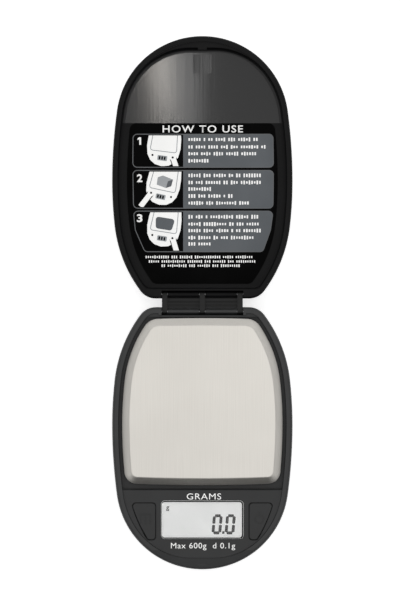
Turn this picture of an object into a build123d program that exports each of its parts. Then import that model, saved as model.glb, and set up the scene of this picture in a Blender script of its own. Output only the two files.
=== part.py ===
from build123d import *
import os
from math import asin, cos, degrees, radians, sin, sqrt, tan

# A pocket gram scale with a folding lid, lying open and flat.
# The frame is +Z up with the feet on z = 0, the hinge along X at y = 0, the case towards -Y and
# the lid, its mirror image in plan, towards +Y.
# A place along either half is given as its distance from that half's hinge edge or from its nose.

# ---------------------------------------------------------------- overall sizes
case_length = 112.0  # hinge edge to nose, the same for both halves
case_width = 77.0
foot_height = 1.0
lid_depth = 8.0  # rim to the highest point of the lid's crowned back
hinge_gap = 3.7  # clear space between the two halves when they lie open
closed_gap = 0.3  # between the two rims when the lid is shut

# ---------------------------------------------------------------- plan outline
widest_from_hinge = 50.0
nose_slack = 1.7  # how much smaller the nose radius is than half the width
haunch_radius = 170.0  # the nearly straight flank behind the widest point
haunch_reach = 19.0
shoulder_radius = 57.0  # the flank that draws in towards the hinge
corner_radius = 8.0
rim_round = 1.2  # rounding of the outer rim edges
belly_round = 4.5  # rounding under the case
lid_crown_radius = 300.0  # the lid's back curves across its width
lid_back_round = 2.6

# ---------------------------------------------------------------- shells
floor_thickness = 1.6
wall_lower = 3.4  # case wall below the deck
rim_width = 2.6  # rim beside the deck
rim_nose_width = 4.9  # rim in front of the deck
seam_gap = 0.12  # between the deck and the rim around it
nose_blend = 28.0  # rounding where the flat front of the deck meets its flanks
deck_drop = 4.5  # rim to the deck's underside
deck_thickness = 1.2  # floor of the platform well
face_drop = 0.8  # rim to the panel that carries the display and keys
face_thickness = 1.6
face_skirt = 0.8
face_length = 34.4  # nose to the panel's rear edge
face_round = 1.0
bevel_start = 8.4  # nose to the line where the thumb bevel begins
bevel_angle = 12.9
grip_width = 4.7  # the small mark in the bevel
grip_length = 0.8
grip_depth = 0.4
grip_from_nose = 2.0
lid_wall = 2.3
lid_step_depth = 0.7  # the shelf inside the lid's nose
lid_shell_thickness = 1.7
lid_inner_round = 2.0
lid_room_corner = 5.0  # the lid room's corners at the hinge
lid_pad_size = 8.0  # the faint square pad on the lid's floor
lid_pad_height = 0.2
lid_pad_from_nose = 11.6
lid_lug_width = 3.8
lid_lug_length = 0.9
lid_lug_height = 2.0

# ---------------------------------------------------------------- hinge
pin_below_rim = 3.6
pin_radius = 0.6
pin_clearance = 0.05
knuckle_radius = 1.3
strap_width = 2.3
hinge_side_gap = 0.2
hinge_shoulder = 2.75  # flat part of the hinge edge outside the hinge
hinge_floor_gap = 0.3
hinge_cheek = 1.2  # wall beside the hinge pocket, which holds the pin's end
hinge_wall = 0.6  # thin wall between the hinge pocket and what is behind it
link_web_half = 1.9
link_web_thickness = 0.8
link_ridge_width = 0.7
link_ridge_height = 2.0
link_ledge_width = 1.1
link_ledge_height = 1.4

# ---------------------------------------------------------------- platform
tray_inset = 4.3  # case outline to the tray's lip
tray_hinge_margin = 4.7  # hinge edge to the tray's lip
tray_front_gap = 1.7  # between the tray's lip and the panel
tray_bow_radius = 700.0  # the tray's front and hinge edges are slightly curved
tray_front_corner = 5.5
tray_rear_corner = 7.0
least_corner = 1.0
tray_sheet = 0.6
tray_lip = 0.7
tray_slope_height = 2.3
tray_slope_angle = 52.0  # from the vertical
tray_bend = 0.7
tray_above_rim = 1.8
pad_thickness = 0.4  # adhesive between the tray and its carrier
pad_size = 5.6
carrier_thickness = 1.4
carrier_inset = 4.2  # tray's lip to the carrier's edge
carrier_rim = 6.0  # width of the carrier's ring
carrier_spine = 12.0  # width of the bar across it
post_gap = 0.8  # carrier's post to the edge of its opening in the deck

# ---------------------------------------------------------------- load cell
cell_length = 45.0
cell_width = 9.0
cell_height = 6.6
cell_above_floor = 2.8
cell_from_bay = 7.6  # battery bay to the middle of the cell
cell_hole_radius = 2.2
cell_hole_spacing = 11.0
cell_slot = 1.6
cell_block_length = 10.0  # bolted length at each end
cell_screw_radius = 1.4
cell_screw_head = 2.4
cell_screw_spacing = 5.6
cell_screw_grip = 5.6  # length of the screw inside the cell
screw_clearance = 0.1
gauge_length = 5.0
gauge_width = 4.0
gauge_thickness = 0.3
stop_gap = 0.4  # free end to the overload screw
stop_boss_gap = 0.5  # the overload screw stands this far out of its boss

# ---------------------------------------------------------------- battery bay
battery_radius = 5.25
battery_length = 43.3
battery_nub_radius = 1.9
battery_nub = 1.2
battery_round = 0.4
battery_gap = 0.5  # between the two cells
battery_over_door = 0.55
battery_headroom = 0.25  # cells to the deck above them
bay_side_gap = 0.4
bay_wall = 1.6
bay_from_nose = 39.6  # nose to the bay's front end
contact_plate = 0.4
contact_height = 8.0
contact_width = 8.4
spring_length = 4.6
spring_wire = 0.3
spring_turns = 4
spring_radius = 3.0
fit_gap = 0.1
door_thickness = 1.2
door_overlap = 0.9
door_gap = 0.15
door_rib_width = 1.2
door_rib_spacing = 24.0
hook_width = 5.0
hook_spacing = 28.0
hook_reach = 0.7
hook_lift = 0.25  # hook above the ledge that it catches
hook_thickness = 1.0
latch_width = 9.0
latch_height = 3.0
latch_thickness = 0.9
grip_groove_length = 11.0

# ---------------------------------------------------------------- display and keys
window_width = 35.0
window_height = 16.2
window_radius = 1.5
window_from_nose = 21.3
window_sink = 0.25
glass_over_window = 0.2
glass_height = 19.0
glass_top_thickness = 1.0
glass_bottom_thickness = 1.0
glass_bottom_height = 15.4
frame_wall = 0.7
zebra_width = 1.3
key_from_window = 2.5  # window's end to the key's straight side
key_rear_from_nose = 28.4
key_front_from_nose = 12.8
key_side_gap = 5.6  # round of the nose to the key's far corner
key_front_width = 3.2
key_flank_radius = 60.0
key_corner = 1.5
key_gap = 0.3
key_proud = 0.3
key_round = 0.3
key_flange = 0.5
key_flange_thickness = 0.5
mark_depth = 0.25
mark_line = 0.6
mark_size = 4.2
mark_shift = 0.6  # the sign sits a little inwards of the switch

# ---------------------------------------------------------------- board
switch_height = 3.5
switch_size = 6.0
switch_from_key_middle = 1.6
switch_from_key_side = 4.9  # key's straight side to the middle of its switch
plunger_radius = 1.7
plunger_clearance = 0.05
plunger_height = 1.5
plunger_sink = 0.8
board_thickness = 1.2
board_inset = 5.8
board_nose_inset = 6.6
board_rear_from_nose = 32.4
board_peg_radius = 2.0
board_screw_from_edge = 2.4
board_screw_side_inset = 11.0
blob_radius = 4.5
blob_height = 1.3
board_part_places = ((-16.0, 3.2), (-10.5, 2.0), (10.0, 2.0), (13.5, 2.0), (18.0, 4.5))  # middle, length
connector_width = 5.0
connector_length = 3.0
connector_height = 2.4

# ---------------------------------------------------------------- fasteners and feet
case_screw_radius = 1.0
case_screw_head = 1.9
case_screw_head_height = 1.4
case_screw_length = 8.0
case_screw_seat = 3.4  # underside of the case to the screw head's seat
case_screw_grip = 2.6  # seat to the top of the lower boss
boss_wall = 1.0
rear_screw_inset = 14.5  # widest half width to the screw
rear_screw_from_hinge = 12.5
front_screw_inset = 8.3
front_screw_from_nose = 37.0
board_screw_radius = 0.8
board_screw_head = 1.5
board_screw_head_height = 1.0
board_screw_length = 4.0
recess_reach = 2.6  # length of a screw's cross recess for each millimetre of its size
recess_arm = 0.8  # width of the recess's arms, in the same way
foot_radius = 4.0
foot_sink = 0.4
foot_round = 0.3
rear_foot_inset = 22.5
rear_foot_from_hinge = 11.0
front_foot_inset = 20.0
front_foot_from_nose = 16.5

# ---------------------------------------------------------------- label
label_thickness = 0.15
glue_gap = 0.02  # between the label and the lid's floor
label_inset = 6.3
label_from_nose = 37.0
label_corner = 3.0

# ---------------------------------------------------------------- flat cables
cable_thickness = 0.6
cable_height = 1.6
cable_bend = 1.2
cable_reach = 12.0  # how far each cable lies along what it is soldered to

# ---------------------------------------------------------------- values that follow
BASE, LID = -1, 1
half_width = case_width / 2
nose_radius = half_width - nose_slack
nose_reach = case_length - widest_from_hinge - nose_radius
flank_radius = (half_width**2 + nose_reach**2 - nose_radius**2) / (2 * nose_slack)
flank_turn = degrees(asin(nose_reach / (flank_radius - nose_radius)))
haunch_turn = degrees(asin(haunch_reach / haunch_radius))
shoulder_middle = widest_from_hinge - (haunch_radius - shoulder_radius) * sin(radians(haunch_turn))

# the cells set how tall the case is; both open halves have their rims at this height
battery_top = foot_height + door_thickness + battery_over_door + 2 * battery_radius
rim_height = battery_top + battery_headroom + deck_drop

pin_height = rim_height - pin_below_rim
pin_offset = pin_below_rim + closed_gap / 2  # middle of the hinge to each pin
notch_floor = pin_height - knuckle_radius - hinge_floor_gap
notch_depth = pin_offset - hinge_gap / 2 + knuckle_radius + hinge_side_gap

lid_room_start = notch_depth + hinge_wall
lid_floor = rim_height - lid_depth + lid_shell_thickness
floor_top = foot_height + floor_thickness
deck_underside = rim_height - deck_drop
well_floor = deck_underside + deck_thickness
face_height = rim_height - face_drop
face_underside = face_height - face_thickness
face_rear = case_length - face_length

tray_top = rim_height + tray_above_rim
tray_bottom = tray_top - tray_slope_height - tray_lip
tray_front = face_rear - tray_front_gap
tray_slope = tan(radians(tray_slope_angle))  # how far the slope runs in for each millimetre up
pad_top = tray_top - tray_sheet
carrier_top = pad_top - pad_thickness
carrier_bottom = carrier_top - carrier_thickness

bay_length = battery_length + battery_nub + spring_length + 2 * contact_plate + fit_gap
battery_pitch = 2 * battery_radius + battery_gap
bay_width = 4 * battery_radius + battery_gap + 2 * bay_side_gap
bay_front = case_length - bay_from_nose
bay_rear = bay_front - bay_width
bay_middle = (bay_front + bay_rear) / 2
door_top = foot_height + door_thickness
battery_height = door_top + battery_over_door + battery_radius
battery_tip = bay_length / 2 - contact_plate - fit_gap / 2
door_length = bay_length + 2 * (door_overlap - door_gap)
door_width = bay_width + 2 * (door_overlap - door_gap)

cell_bottom = floor_top + cell_above_floor
cell_top = cell_bottom + cell_height
cell_middle = bay_rear - bay_wall - cell_from_bay
cell_end = (cell_length - cell_block_length) / 2
platform_screw_seat = carrier_bottom - 1.0

window_middle = case_length - window_from_nose
window_top = face_height - window_sink
glass_width = window_width + 2 * glass_over_window
glass_top = face_underside - fit_gap
glass_bottom = glass_top - glass_top_thickness - glass_bottom_thickness
key_inner = window_width / 2 + key_from_window
key_rear = case_length - key_rear_from_nose
key_front = case_length - key_front_from_nose
key_outer = sqrt(nose_radius**2 - (nose_radius - key_rear_from_nose) ** 2) - key_side_gap
key_underside = face_underside - fit_gap - key_flange_thickness
key_top = face_height + key_proud

board_top = key_underside - plunger_height - switch_height
board_bottom = board_top - board_thickness
board_rear = case_length - board_rear_from_nose
board_front = case_length - board_nose_inset
switch_x = key_inner + switch_from_key_side
switch_middle = (key_rear + key_front) / 2 - switch_from_key_middle

screw_seat = foot_height + case_screw_seat
boss_top = screw_seat + case_screw_grip
boss_radius = case_screw_head + screw_clearance + boss_wall


def case_y(distance):
    """Y of a place that far from the case's hinge edge."""
    return -(hinge_gap / 2 + distance)


def lid_y(distance):
    """Y of a place that far from the lid's hinge edge."""
    return hinge_gap / 2 + distance


hook_pocket = hook_reach + 2 * key_gap
connector_x = bay_length / 2 - connector_width / 2 + cable_thickness
cable_bottom = board_top + (connector_height - cable_height) / 2
battery_cable_x = bay_length / 2 - contact_plate - cable_thickness / 2
battery_cable_bottom = battery_height + spring_radius + spring_wire
grip_bottom = rim_height - (bevel_start - grip_from_nose) * tan(radians(bevel_angle)) - grip_depth
rear_screws = [(side * (half_width - rear_screw_inset), case_y(rear_screw_from_hinge)) for side in (-1, 1)]
front_screws = [
    (side * (half_width - front_screw_inset), case_y(case_length - front_screw_from_nose)) for side in (-1, 1)
]
case_screw_places = rear_screws + front_screws
board_screw_places = [
    (0, case_y(board_front - board_screw_from_edge)),
    (-(half_width - board_screw_side_inset), case_y(board_rear + board_screw_from_edge)),
    (half_width - board_screw_side_inset, case_y(board_rear + board_screw_from_edge)),
]
foot_places = {
    "rear_left": (-(half_width - rear_foot_inset), case_y(rear_foot_from_hinge)),
    "rear_right": (half_width - rear_foot_inset, case_y(rear_foot_from_hinge)),
    "front_left": (-(half_width - front_foot_inset), case_y(case_length - front_foot_from_nose)),
    "front_right": (half_width - front_foot_inset, case_y(case_length - front_foot_from_nose)),
}
cell_screw_offsets = (-cell_screw_spacing / 2, cell_screw_spacing / 2)


# ---------------------------------------------------------------- shared outlines
def square_outline(half, inset=0.0):
    """Plan of the case (BASE) or lid (LID), shrunk evenly by inset, with square hinge corners."""
    widest = (half_width - inset, half * (hinge_gap / 2 + widest_from_hinge))
    shoulder_end = degrees(asin((shoulder_middle - inset) / (shoulder_radius - inset)))
    shoulder_turn = shoulder_end - haunch_turn
    with BuildSketch() as outline:
        with BuildLine():
            flank = JernArc(widest, (0, half), flank_radius - inset, half * flank_turn)
            JernArc(flank @ 1, flank % 1, nose_radius - inset, half * (90 - flank_turn))
            haunch = JernArc(widest, (0, -half), haunch_radius - inset, -half * haunch_turn)
            shoulder = JernArc(haunch @ 1, haunch % 1, shoulder_radius - inset, -half * shoulder_turn)
            mirror(about=Plane.YZ)
            Line(shoulder @ 1, (-(shoulder @ 1).X, (shoulder @ 1).Y))
        make_face()
    return outline.sketch


def plan_outline(half, inset=0.0):
    """The same plan with its hinge corners rounded."""
    hinge_end = 0 if half == LID else -1
    with BuildSketch() as outline:
        add(square_outline(half, inset))
        fillet(outline.vertices().group_by(Axis.Y)[hinge_end], radius=corner_radius - inset)
    return outline.sketch


def trimmed_outline(half, inset, from_hinge, from_nose, hinge_corner, nose_corner):
    """The plan cut straight across near the hinge and near the nose, with rounded corners."""
    length = case_length - from_nose - from_hinge
    with BuildSketch() as outline:
        add(square_outline(half, inset))
        with Locations((0, half * (hinge_gap / 2 + from_hinge + length / 2))):
            Rectangle(case_width, length, mode=Mode.INTERSECT)
        corners = (hinge_corner, nose_corner) if half == LID else (nose_corner, hinge_corner)
        fillet(outline.vertices().group_by(Axis.Y)[0], radius=corners[0])
        fillet(outline.vertices().group_by(Axis.Y)[-1], radius=corners[1])
    return outline.sketch


def label_outline():
    """The plan of the label, which stops short of the lid's nose and has the same rounding all round."""
    length = case_length - label_from_nose - label_inset
    with BuildSketch() as outline:
        add(square_outline(LID, label_inset))
        with Locations((0, lid_y(label_inset + length / 2))):
            Rectangle(case_width, length, mode=Mode.INTERSECT)
        offset(amount=-label_corner, kind=Kind.INTERSECTION)
        offset(amount=label_corner)
    return outline.sketch


def flat_nosed_outline(half, inset, nose_inset, blend=nose_blend):
    """The rounded plan cut straight across near the nose."""
    return trimmed_outline(half, inset, 0, nose_inset, corner_radius - inset, blend)


def hinge_block(half, width, depth):
    """Rectangle in the middle of a half's hinge edge."""
    with BuildSketch() as block:
        with Locations((0, half * (hinge_gap / 2 + depth / 2))):
            Rectangle(width, depth)
    return block.sketch


def deck_outline(gap=0.0):
    """Plan of the recess that the upper case sits in, or of the upper case itself with a seam gap."""
    with BuildSketch() as outline:
        add(flat_nosed_outline(BASE, rim_width + gap, rim_nose_width + gap, nose_blend - gap))
        add(hinge_block(BASE, 2 * (notch_half + hinge_cheek + gap), notch_depth + gap), mode=Mode.SUBTRACT)
    return outline.sketch


def panel_hollow(gap=0.0):
    """Plan of the hollow under the panel, inside the upper case's skirt."""
    inset = seam_gap + face_skirt + gap
    with BuildSketch() as outline:
        add(flat_nosed_outline(BASE, rim_width + inset, rim_nose_width + inset, nose_blend - inset))
        with Locations((0, case_y((face_rear + face_skirt + gap + case_length) / 2))):
            Rectangle(case_width, face_length - face_skirt - gap, mode=Mode.INTERSECT)
    return outline.sketch


def tray_outline(inset=0.0):
    """Plan of the weighing tray's lip, shrunk evenly by inset."""
    with BuildSketch() as outline:
        add(square_outline(BASE, tray_inset + inset))
        with Locations((0, case_y(tray_front - inset) + tray_bow_radius)):
            Circle(tray_bow_radius, mode=Mode.INTERSECT)
        with Locations((0, case_y(tray_hinge_margin + inset) - tray_bow_radius)):
            Circle(tray_bow_radius, mode=Mode.INTERSECT)
        fillet(outline.vertices().group_by(Axis.Y)[0], radius=max(tray_front_corner - inset, least_corner))
        fillet(outline.vertices().group_by(Axis.Y)[-1], radius=max(tray_rear_corner - inset, least_corner))
    return outline.sketch


def key_outline(side, grow=0.0):
    """Plan of the left (-1) or right (1) key, grown evenly by grow."""
    rear = case_y(key_rear - grow)
    front = case_y(key_front + grow)
    inner = side * (key_inner - grow)
    with BuildSketch() as outline:
        with BuildLine():
            flank = RadiusArc(
                (side * (key_outer + grow), rear),
                (side * (key_inner + key_front_width + grow), front),
                side * key_flank_radius,
            )
            Polyline(flank @ 1, (inner, front), (inner, rear), flank @ 0)
        make_face()
        fillet(outline.vertices(), radius=key_corner)
    return outline.sketch


def knuckle_section(half):
    """Side view of a knuckle and the web that carries it, down to the pocket's floor."""
    with BuildSketch() as section:
        with Locations((half * pin_offset, pin_height)):
            Circle(knuckle_radius)
        with Locations((half * pin_offset, (pin_height + notch_floor) / 2)):
            Rectangle(2 * knuckle_radius, pin_height - notch_floor)
    return section.sketch


hinge_edge_half = plan_outline(BASE).edges().sort_by(Axis.Y)[-1].length / 2
hinge_half = hinge_edge_half - hinge_shoulder
notch_half = hinge_half + hinge_side_gap
pin_half = notch_half + hinge_cheek - fit_gap
knuckle_start = strap_width / 2 + hinge_side_gap
knuckle_length = hinge_half - strap_width - hinge_side_gap - knuckle_start
parts = {}


def keep(name, piece):
    """Label a finished piece and note it for export."""
    piece.part.label = name
    parts[name] = piece.part


# ---------------------------------------------------------------- lower case
with BuildPart() as lower_case:
    with BuildSketch(Plane.XY.offset(foot_height)):
        add(plan_outline(BASE))
    extrude(amount=rim_height - foot_height)

    # thumb bevel across the nose
    bevel_y = case_y(case_length - bevel_start)
    past_nose = case_y(case_length + 1)
    bevel_end = rim_height - (bevel_start + 1) * tan(radians(bevel_angle))
    with BuildSketch(Plane.YZ):
        Polygon(
            (bevel_y, rim_height),
            (past_nose, bevel_end),
            (past_nose, rim_height + 1),
            (bevel_y, rim_height + 1),
            align=None,
        )
    extrude(amount=half_width, both=True, mode=Mode.SUBTRACT)
    upper_edges = lower_case.edges().filter_by(lambda edge: edge.bounding_box().min.Z > bevel_end)
    fillet(upper_edges.filter_by(lambda edge: abs(edge.center().Y - bevel_y) > fit_gap), radius=rim_round)
    fillet(lower_case.edges().group_by(Axis.Z)[0], radius=belly_round)

    # space below the deck, and the wider recess that the deck sits in
    with BuildSketch(Plane.XY.offset(floor_top)):
        deck_ledge = wall_lower - rim_width
        add(flat_nosed_outline(BASE, wall_lower, rim_nose_width + deck_ledge, nose_blend - deck_ledge))
    extrude(amount=deck_underside - floor_top, mode=Mode.SUBTRACT)
    with BuildSketch(Plane.XY.offset(deck_underside)):
        add(deck_outline())
    extrude(amount=rim_height - deck_underside, mode=Mode.SUBTRACT)

    # hinge pocket with its two knuckles
    with BuildSketch(Plane.XY.offset(notch_floor)):
        add(hinge_block(BASE, 2 * notch_half, notch_depth))
    extrude(amount=rim_height - notch_floor, mode=Mode.SUBTRACT)
    for start in (-knuckle_start - knuckle_length, knuckle_start):
        with BuildSketch(Plane.YZ.offset(start)):
            add(knuckle_section(BASE))
        extrude(amount=knuckle_length)
    with BuildSketch(Plane.YZ.offset(-pin_half)):
        with Locations((-pin_offset, pin_height)):
            Circle(pin_radius)
    extrude(amount=2 * pin_half, mode=Mode.SUBTRACT)

    # battery bay, open below for its door
    with BuildSketch(Plane.XY.offset(floor_top)):
        with Locations((0, case_y(bay_middle))):
            Rectangle(bay_length + 2 * bay_wall, bay_width + 2 * bay_wall)
            Rectangle(bay_length, bay_width, mode=Mode.SUBTRACT)
    extrude(amount=deck_underside - fit_gap - floor_top)
    with BuildSketch(Plane.XY.offset(foot_height)):
        with Locations((0, case_y(bay_middle))):
            Rectangle(bay_length, bay_width)
    extrude(amount=floor_thickness, mode=Mode.SUBTRACT)
    with BuildSketch(Plane.XY.offset(foot_height)):
        with Locations((0, case_y(bay_middle))):
            Rectangle(bay_length + 2 * door_overlap, bay_width + 2 * door_overlap)
    extrude(amount=door_thickness + fit_gap, mode=Mode.SUBTRACT)
    with BuildSketch(Plane.XY.offset(floor_top)):
        with GridLocations(hook_spacing, 0, 2, 1):
            with Locations((0, case_y(bay_front + hook_pocket / 2))):
                Rectangle(hook_width + 2 * key_gap, hook_pocket)
    extrude(amount=hook_lift + hook_thickness + 2 * key_gap, mode=Mode.SUBTRACT)
    with BuildSketch(Plane.XY.offset(battery_cable_bottom - fit_gap)):
        with Locations((-battery_cable_x, case_y(bay_front + bay_wall / 2))):
            Rectangle(cable_thickness + 2 * contact_plate, bay_wall)
    extrude(amount=deck_underside - battery_cable_bottom, mode=Mode.SUBTRACT)

    # posts for the load cell, its overload screw, the case screws and the board
    with BuildSketch(Plane.XY.offset(floor_top)):
        with Locations((-cell_end, case_y(cell_middle))):
            Rectangle(cell_block_length, cell_width)
    extrude(amount=cell_above_floor)
    with BuildSketch(Plane.XY.offset(floor_top)):
        with Locations((cell_end, case_y(cell_middle))):
            Circle(cell_screw_radius + 2 * boss_wall)
    extrude(amount=cell_above_floor - stop_gap - stop_boss_gap)
    with BuildSketch(Plane.XY.offset(floor_top)):
        with Locations(*case_screw_places):
            Circle(boss_radius)
    extrude(amount=boss_top - floor_top)
    with BuildSketch(Plane.XY.offset(floor_top)):
        with Locations(*board_screw_places):
            Circle(board_peg_radius)
    extrude(amount=board_bottom - floor_top)

    # screw holes and foot recesses
    with BuildSketch(Plane.XY.offset(foot_height)):
        with Locations(*case_screw_places):
            Circle(case_screw_head + screw_clearance)
        for offset_x in cell_screw_offsets:
            with Locations((offset_x - cell_end, case_y(cell_middle))):
                Circle(cell_screw_head + screw_clearance)
    extrude(amount=case_screw_seat, mode=Mode.SUBTRACT)
    with BuildSketch(Plane.XY.offset(screw_seat)):
        with Locations(*case_screw_places):
            Circle(case_screw_radius + screw_clearance)
    extrude(amount=case_screw_grip, mode=Mode.SUBTRACT)
    with BuildSketch(Plane.XY.offset(foot_height)):
        for offset_x in cell_screw_offsets:
            with Locations((offset_x - cell_end, case_y(cell_middle))):
                Circle(cell_screw_radius + screw_clearance)
        with Locations((cell_end, case_y(cell_middle))):
            Circle(cell_screw_radius)
    extrude(amount=cell_bottom - foot_height, mode=Mode.SUBTRACT)
    with BuildSketch(Plane.XY.offset(board_bottom)):
        with Locations(*board_screw_places):
            Circle(board_screw_radius)
    extrude(amount=-(board_screw_length - board_thickness), mode=Mode.SUBTRACT)
    with BuildSketch(Plane.XY.offset(foot_height)):
        with Locations(*foot_places.values()):
            Circle(foot_radius + fit_gap)
    extrude(amount=foot_sink, mode=Mode.SUBTRACT)
    with BuildSketch(Plane.XY.offset(grip_bottom)):
        with Locations((0, case_y(case_length - grip_from_nose))):
            SlotOverall(grip_width, grip_length)
    extrude(amount=rim_height - grip_bottom, mode=Mode.SUBTRACT)
keep("lower_case", lower_case)


# ---------------------------------------------------------------- upper case
with BuildPart() as upper_case:
    with BuildSketch(Plane.XY.offset(deck_underside)):
        add(deck_outline(seam_gap))
    extrude(amount=face_height - deck_underside)

    # platform well, with the wall of the hinge pocket left standing behind it
    well_rear = notch_depth + seam_gap + hinge_wall
    with BuildSketch(Plane.XY.offset(well_floor)):
        with Locations((0, case_y((well_rear + face_rear) / 2))):
            Rectangle(case_width, face_rear - well_rear)
    extrude(amount=face_height - well_floor, mode=Mode.SUBTRACT)
    fillet(
        upper_case.edges().filter_by(Axis.X).filter_by_position(
            Axis.Y, case_y(face_rear + fit_gap), case_y(face_rear - fit_gap)
        ).sort_by(Axis.Z)[-1],
        radius=face_round,
    )

    # hollow under the panel
    with BuildSketch(Plane.XY.offset(deck_underside)):
        add(panel_hollow())
    extrude(amount=face_underside - deck_underside, mode=Mode.SUBTRACT)

    # openings for the window, the keys and the carrier's post
    with BuildSketch(Plane.XY.offset(face_underside)):
        with Locations((0, case_y(window_middle))):
            RectangleRounded(
                window_width + 2 * fit_gap, window_height + 2 * fit_gap, window_radius + fit_gap
            )
        for side in (-1, 1):
            add(key_outline(side, key_gap))
    extrude(amount=face_thickness, mode=Mode.SUBTRACT)
    with BuildSketch(Plane.XY.offset(deck_underside)):
        with Locations((cell_end, case_y(cell_middle))):
            Rectangle(cell_block_length + 2 * post_gap, cell_width + 2 * post_gap)
    extrude(amount=deck_thickness, mode=Mode.SUBTRACT)

    # screw posts
    with BuildSketch(Plane.XY.offset(boss_top)):
        with Locations(*case_screw_places):
            Circle(case_screw_radius + boss_wall)
    extrude(amount=deck_underside - boss_top)
    with BuildSketch(Plane.XY.offset(boss_top)):
        with Locations(*case_screw_places):
            Circle(case_screw_radius)
    extrude(amount=case_screw_length - case_screw_grip + fit_gap, mode=Mode.SUBTRACT)
keep("upper_case", upper_case)


# ---------------------------------------------------------------- display
with BuildPart() as display_window:
    with BuildSketch(Plane.XY.offset(glass_top)):
        with Locations((0, case_y(window_middle))):
            RectangleRounded(window_width, window_height, window_radius)
    extrude(amount=window_top - glass_top)
    fillet(display_window.faces().sort_by(Axis.Z)[-1].edges(), radius=fit_gap)
keep("display_window", display_window)

with BuildPart() as lcd_panel:
    with BuildSketch(Plane.XY.offset(glass_bottom)):
        with Locations((0, case_y(window_middle))):
            Rectangle(glass_width, glass_bottom_height)
    extrude(amount=glass_bottom_thickness)
    with BuildSketch(Plane.XY.offset(glass_top - glass_top_thickness)):
        with Locations((0, case_y(window_middle))):
            Rectangle(glass_width, glass_height)
    extrude(amount=glass_top_thickness)
keep("lcd_panel", lcd_panel)

with BuildPart() as display_diffuser:
    with BuildSketch(Plane.XY.offset(board_top)):
        with Locations((0, case_y(window_middle))):
            Rectangle(glass_width, glass_bottom_height)
    extrude(amount=glass_bottom - board_top)
keep("display_diffuser", display_diffuser)

with BuildPart() as zebra_strips:
    with BuildSketch(Plane.XY.offset(board_top)):
        for side in (-1, 1):
            with Locations((0, case_y(window_middle) + side * (glass_height - zebra_width) / 2)):
                Rectangle(glass_width, zebra_width)
    extrude(amount=glass_top - glass_top_thickness - board_top)
keep("zebra_strips", zebra_strips)

with BuildPart() as display_frame:
    frame_inner_width = glass_width + 2 * fit_gap
    frame_inner_height = glass_height + 2 * fit_gap
    with BuildSketch(Plane.XY.offset(board_top)):
        with Locations((0, case_y(window_middle))):
            Rectangle(frame_inner_width + 2 * frame_wall, frame_inner_height + 2 * frame_wall)
            Rectangle(frame_inner_width, frame_inner_height, mode=Mode.SUBTRACT)
    extrude(amount=glass_top - board_top)
keep("display_frame", display_frame)


# ---------------------------------------------------------------- circuit board
with BuildPart() as main_board:
    with BuildSketch(Plane.XY.offset(board_bottom)):
        add(flat_nosed_outline(BASE, board_inset, board_nose_inset, nose_blend))
        with Locations((0, case_y((board_rear + case_length) / 2))):
            Rectangle(case_width, case_length - board_rear, mode=Mode.INTERSECT)
        with Locations(*board_screw_places):
            Circle(board_screw_radius + screw_clearance, mode=Mode.SUBTRACT)
    extrude(amount=board_thickness)
keep("main_board", main_board)

with BuildPart() as chip_blob:
    with BuildSketch(Plane.XY.offset(board_bottom)):
        with Locations((0, case_y(window_middle))):
            Circle(blob_radius)
    extrude(amount=-blob_height)
    fillet(chip_blob.edges().group_by(Axis.Z)[0], radius=blob_height - fit_gap)
keep("chip_blob", chip_blob)

with BuildPart() as board_parts:
    for place_x, length in board_part_places:
        with BuildSketch(Plane.XY.offset(board_bottom)):
            with Locations((place_x, case_y(window_middle))):
                Rectangle(length, length / 2 + 1)
        extrude(amount=-length / 3)
keep("board_parts", board_parts)

with BuildPart() as cable_connectors:
    with BuildSketch(Plane.XY.offset(board_top)):
        for side in (-1, 1):
            with Locations((side * connector_x, case_y(board_rear + connector_length / 2))):
                Rectangle(connector_width, connector_length)
    extrude(amount=connector_height)
keep("cable_connectors", cable_connectors)

# the load cell's cable leaves along the cell, passes beside the bay and ends in its connector
with BuildPart() as gauge_cable:
    beside_cell = case_y(cell_middle + cell_width / 2 + fit_gap + cable_thickness / 2)
    beside_bay = bay_length / 2 + bay_wall + fit_gap + cable_thickness
    with BuildSketch(Plane.XY.offset(cable_bottom)):
        with BuildLine():
            FilletPolyline(
                (cell_length / 2 - cable_reach, beside_cell),
                (beside_bay - 2 * cable_bend, beside_cell),
                (beside_bay, case_y(bay_rear - bay_wall)),
                (beside_bay, case_y(bay_front + bay_wall)),
                (connector_x, case_y(board_rear - 2 * cable_bend)),
                (connector_x, case_y(board_rear)),
                radius=cable_bend,
            )
        trace(line_width=cable_thickness)
    extrude(amount=cable_height)
keep("gauge_cable", gauge_cable)

# the battery cable lies against both contacts at the left and runs straight to its connector
with BuildPart() as battery_cable:
    cable_start = bay_middle - cable_reach / 2
    with BuildSketch(Plane.XY.offset(battery_cable_bottom)):
        with Locations((-battery_cable_x, case_y((cable_start + board_rear) / 2))):
            Rectangle(cable_thickness, board_rear - cable_start)
    extrude(amount=cable_height)
keep("battery_cable", battery_cable)


# ---------------------------------------------------------------- keys and their switches
def key_mark(side):
    """Sign sunk into a key: a bar graph of two columns on the left, a power sign on the right."""
    middle = (side * (switch_x - mark_shift), case_y(switch_middle + mark_shift))
    with BuildSketch() as mark:
        with Locations(middle):
            if side < 0:
                for shift in (-mark_size / 2, 0, mark_size / 2):
                    with Locations((shift, 0)):
                        Rectangle(mark_line, mark_size)
                with Locations((0, mark_size / 2)):
                    Rectangle(mark_size + mark_line, mark_line)
            else:
                Circle(mark_size / 2)
                Circle(mark_size / 2 - mark_line, mode=Mode.SUBTRACT)
                with Locations((0, mark_size / 2)):
                    Rectangle(3 * mark_line, mark_size / 2, mode=Mode.SUBTRACT)
                    Rectangle(mark_line, mark_size / 2)
    return mark.sketch


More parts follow.
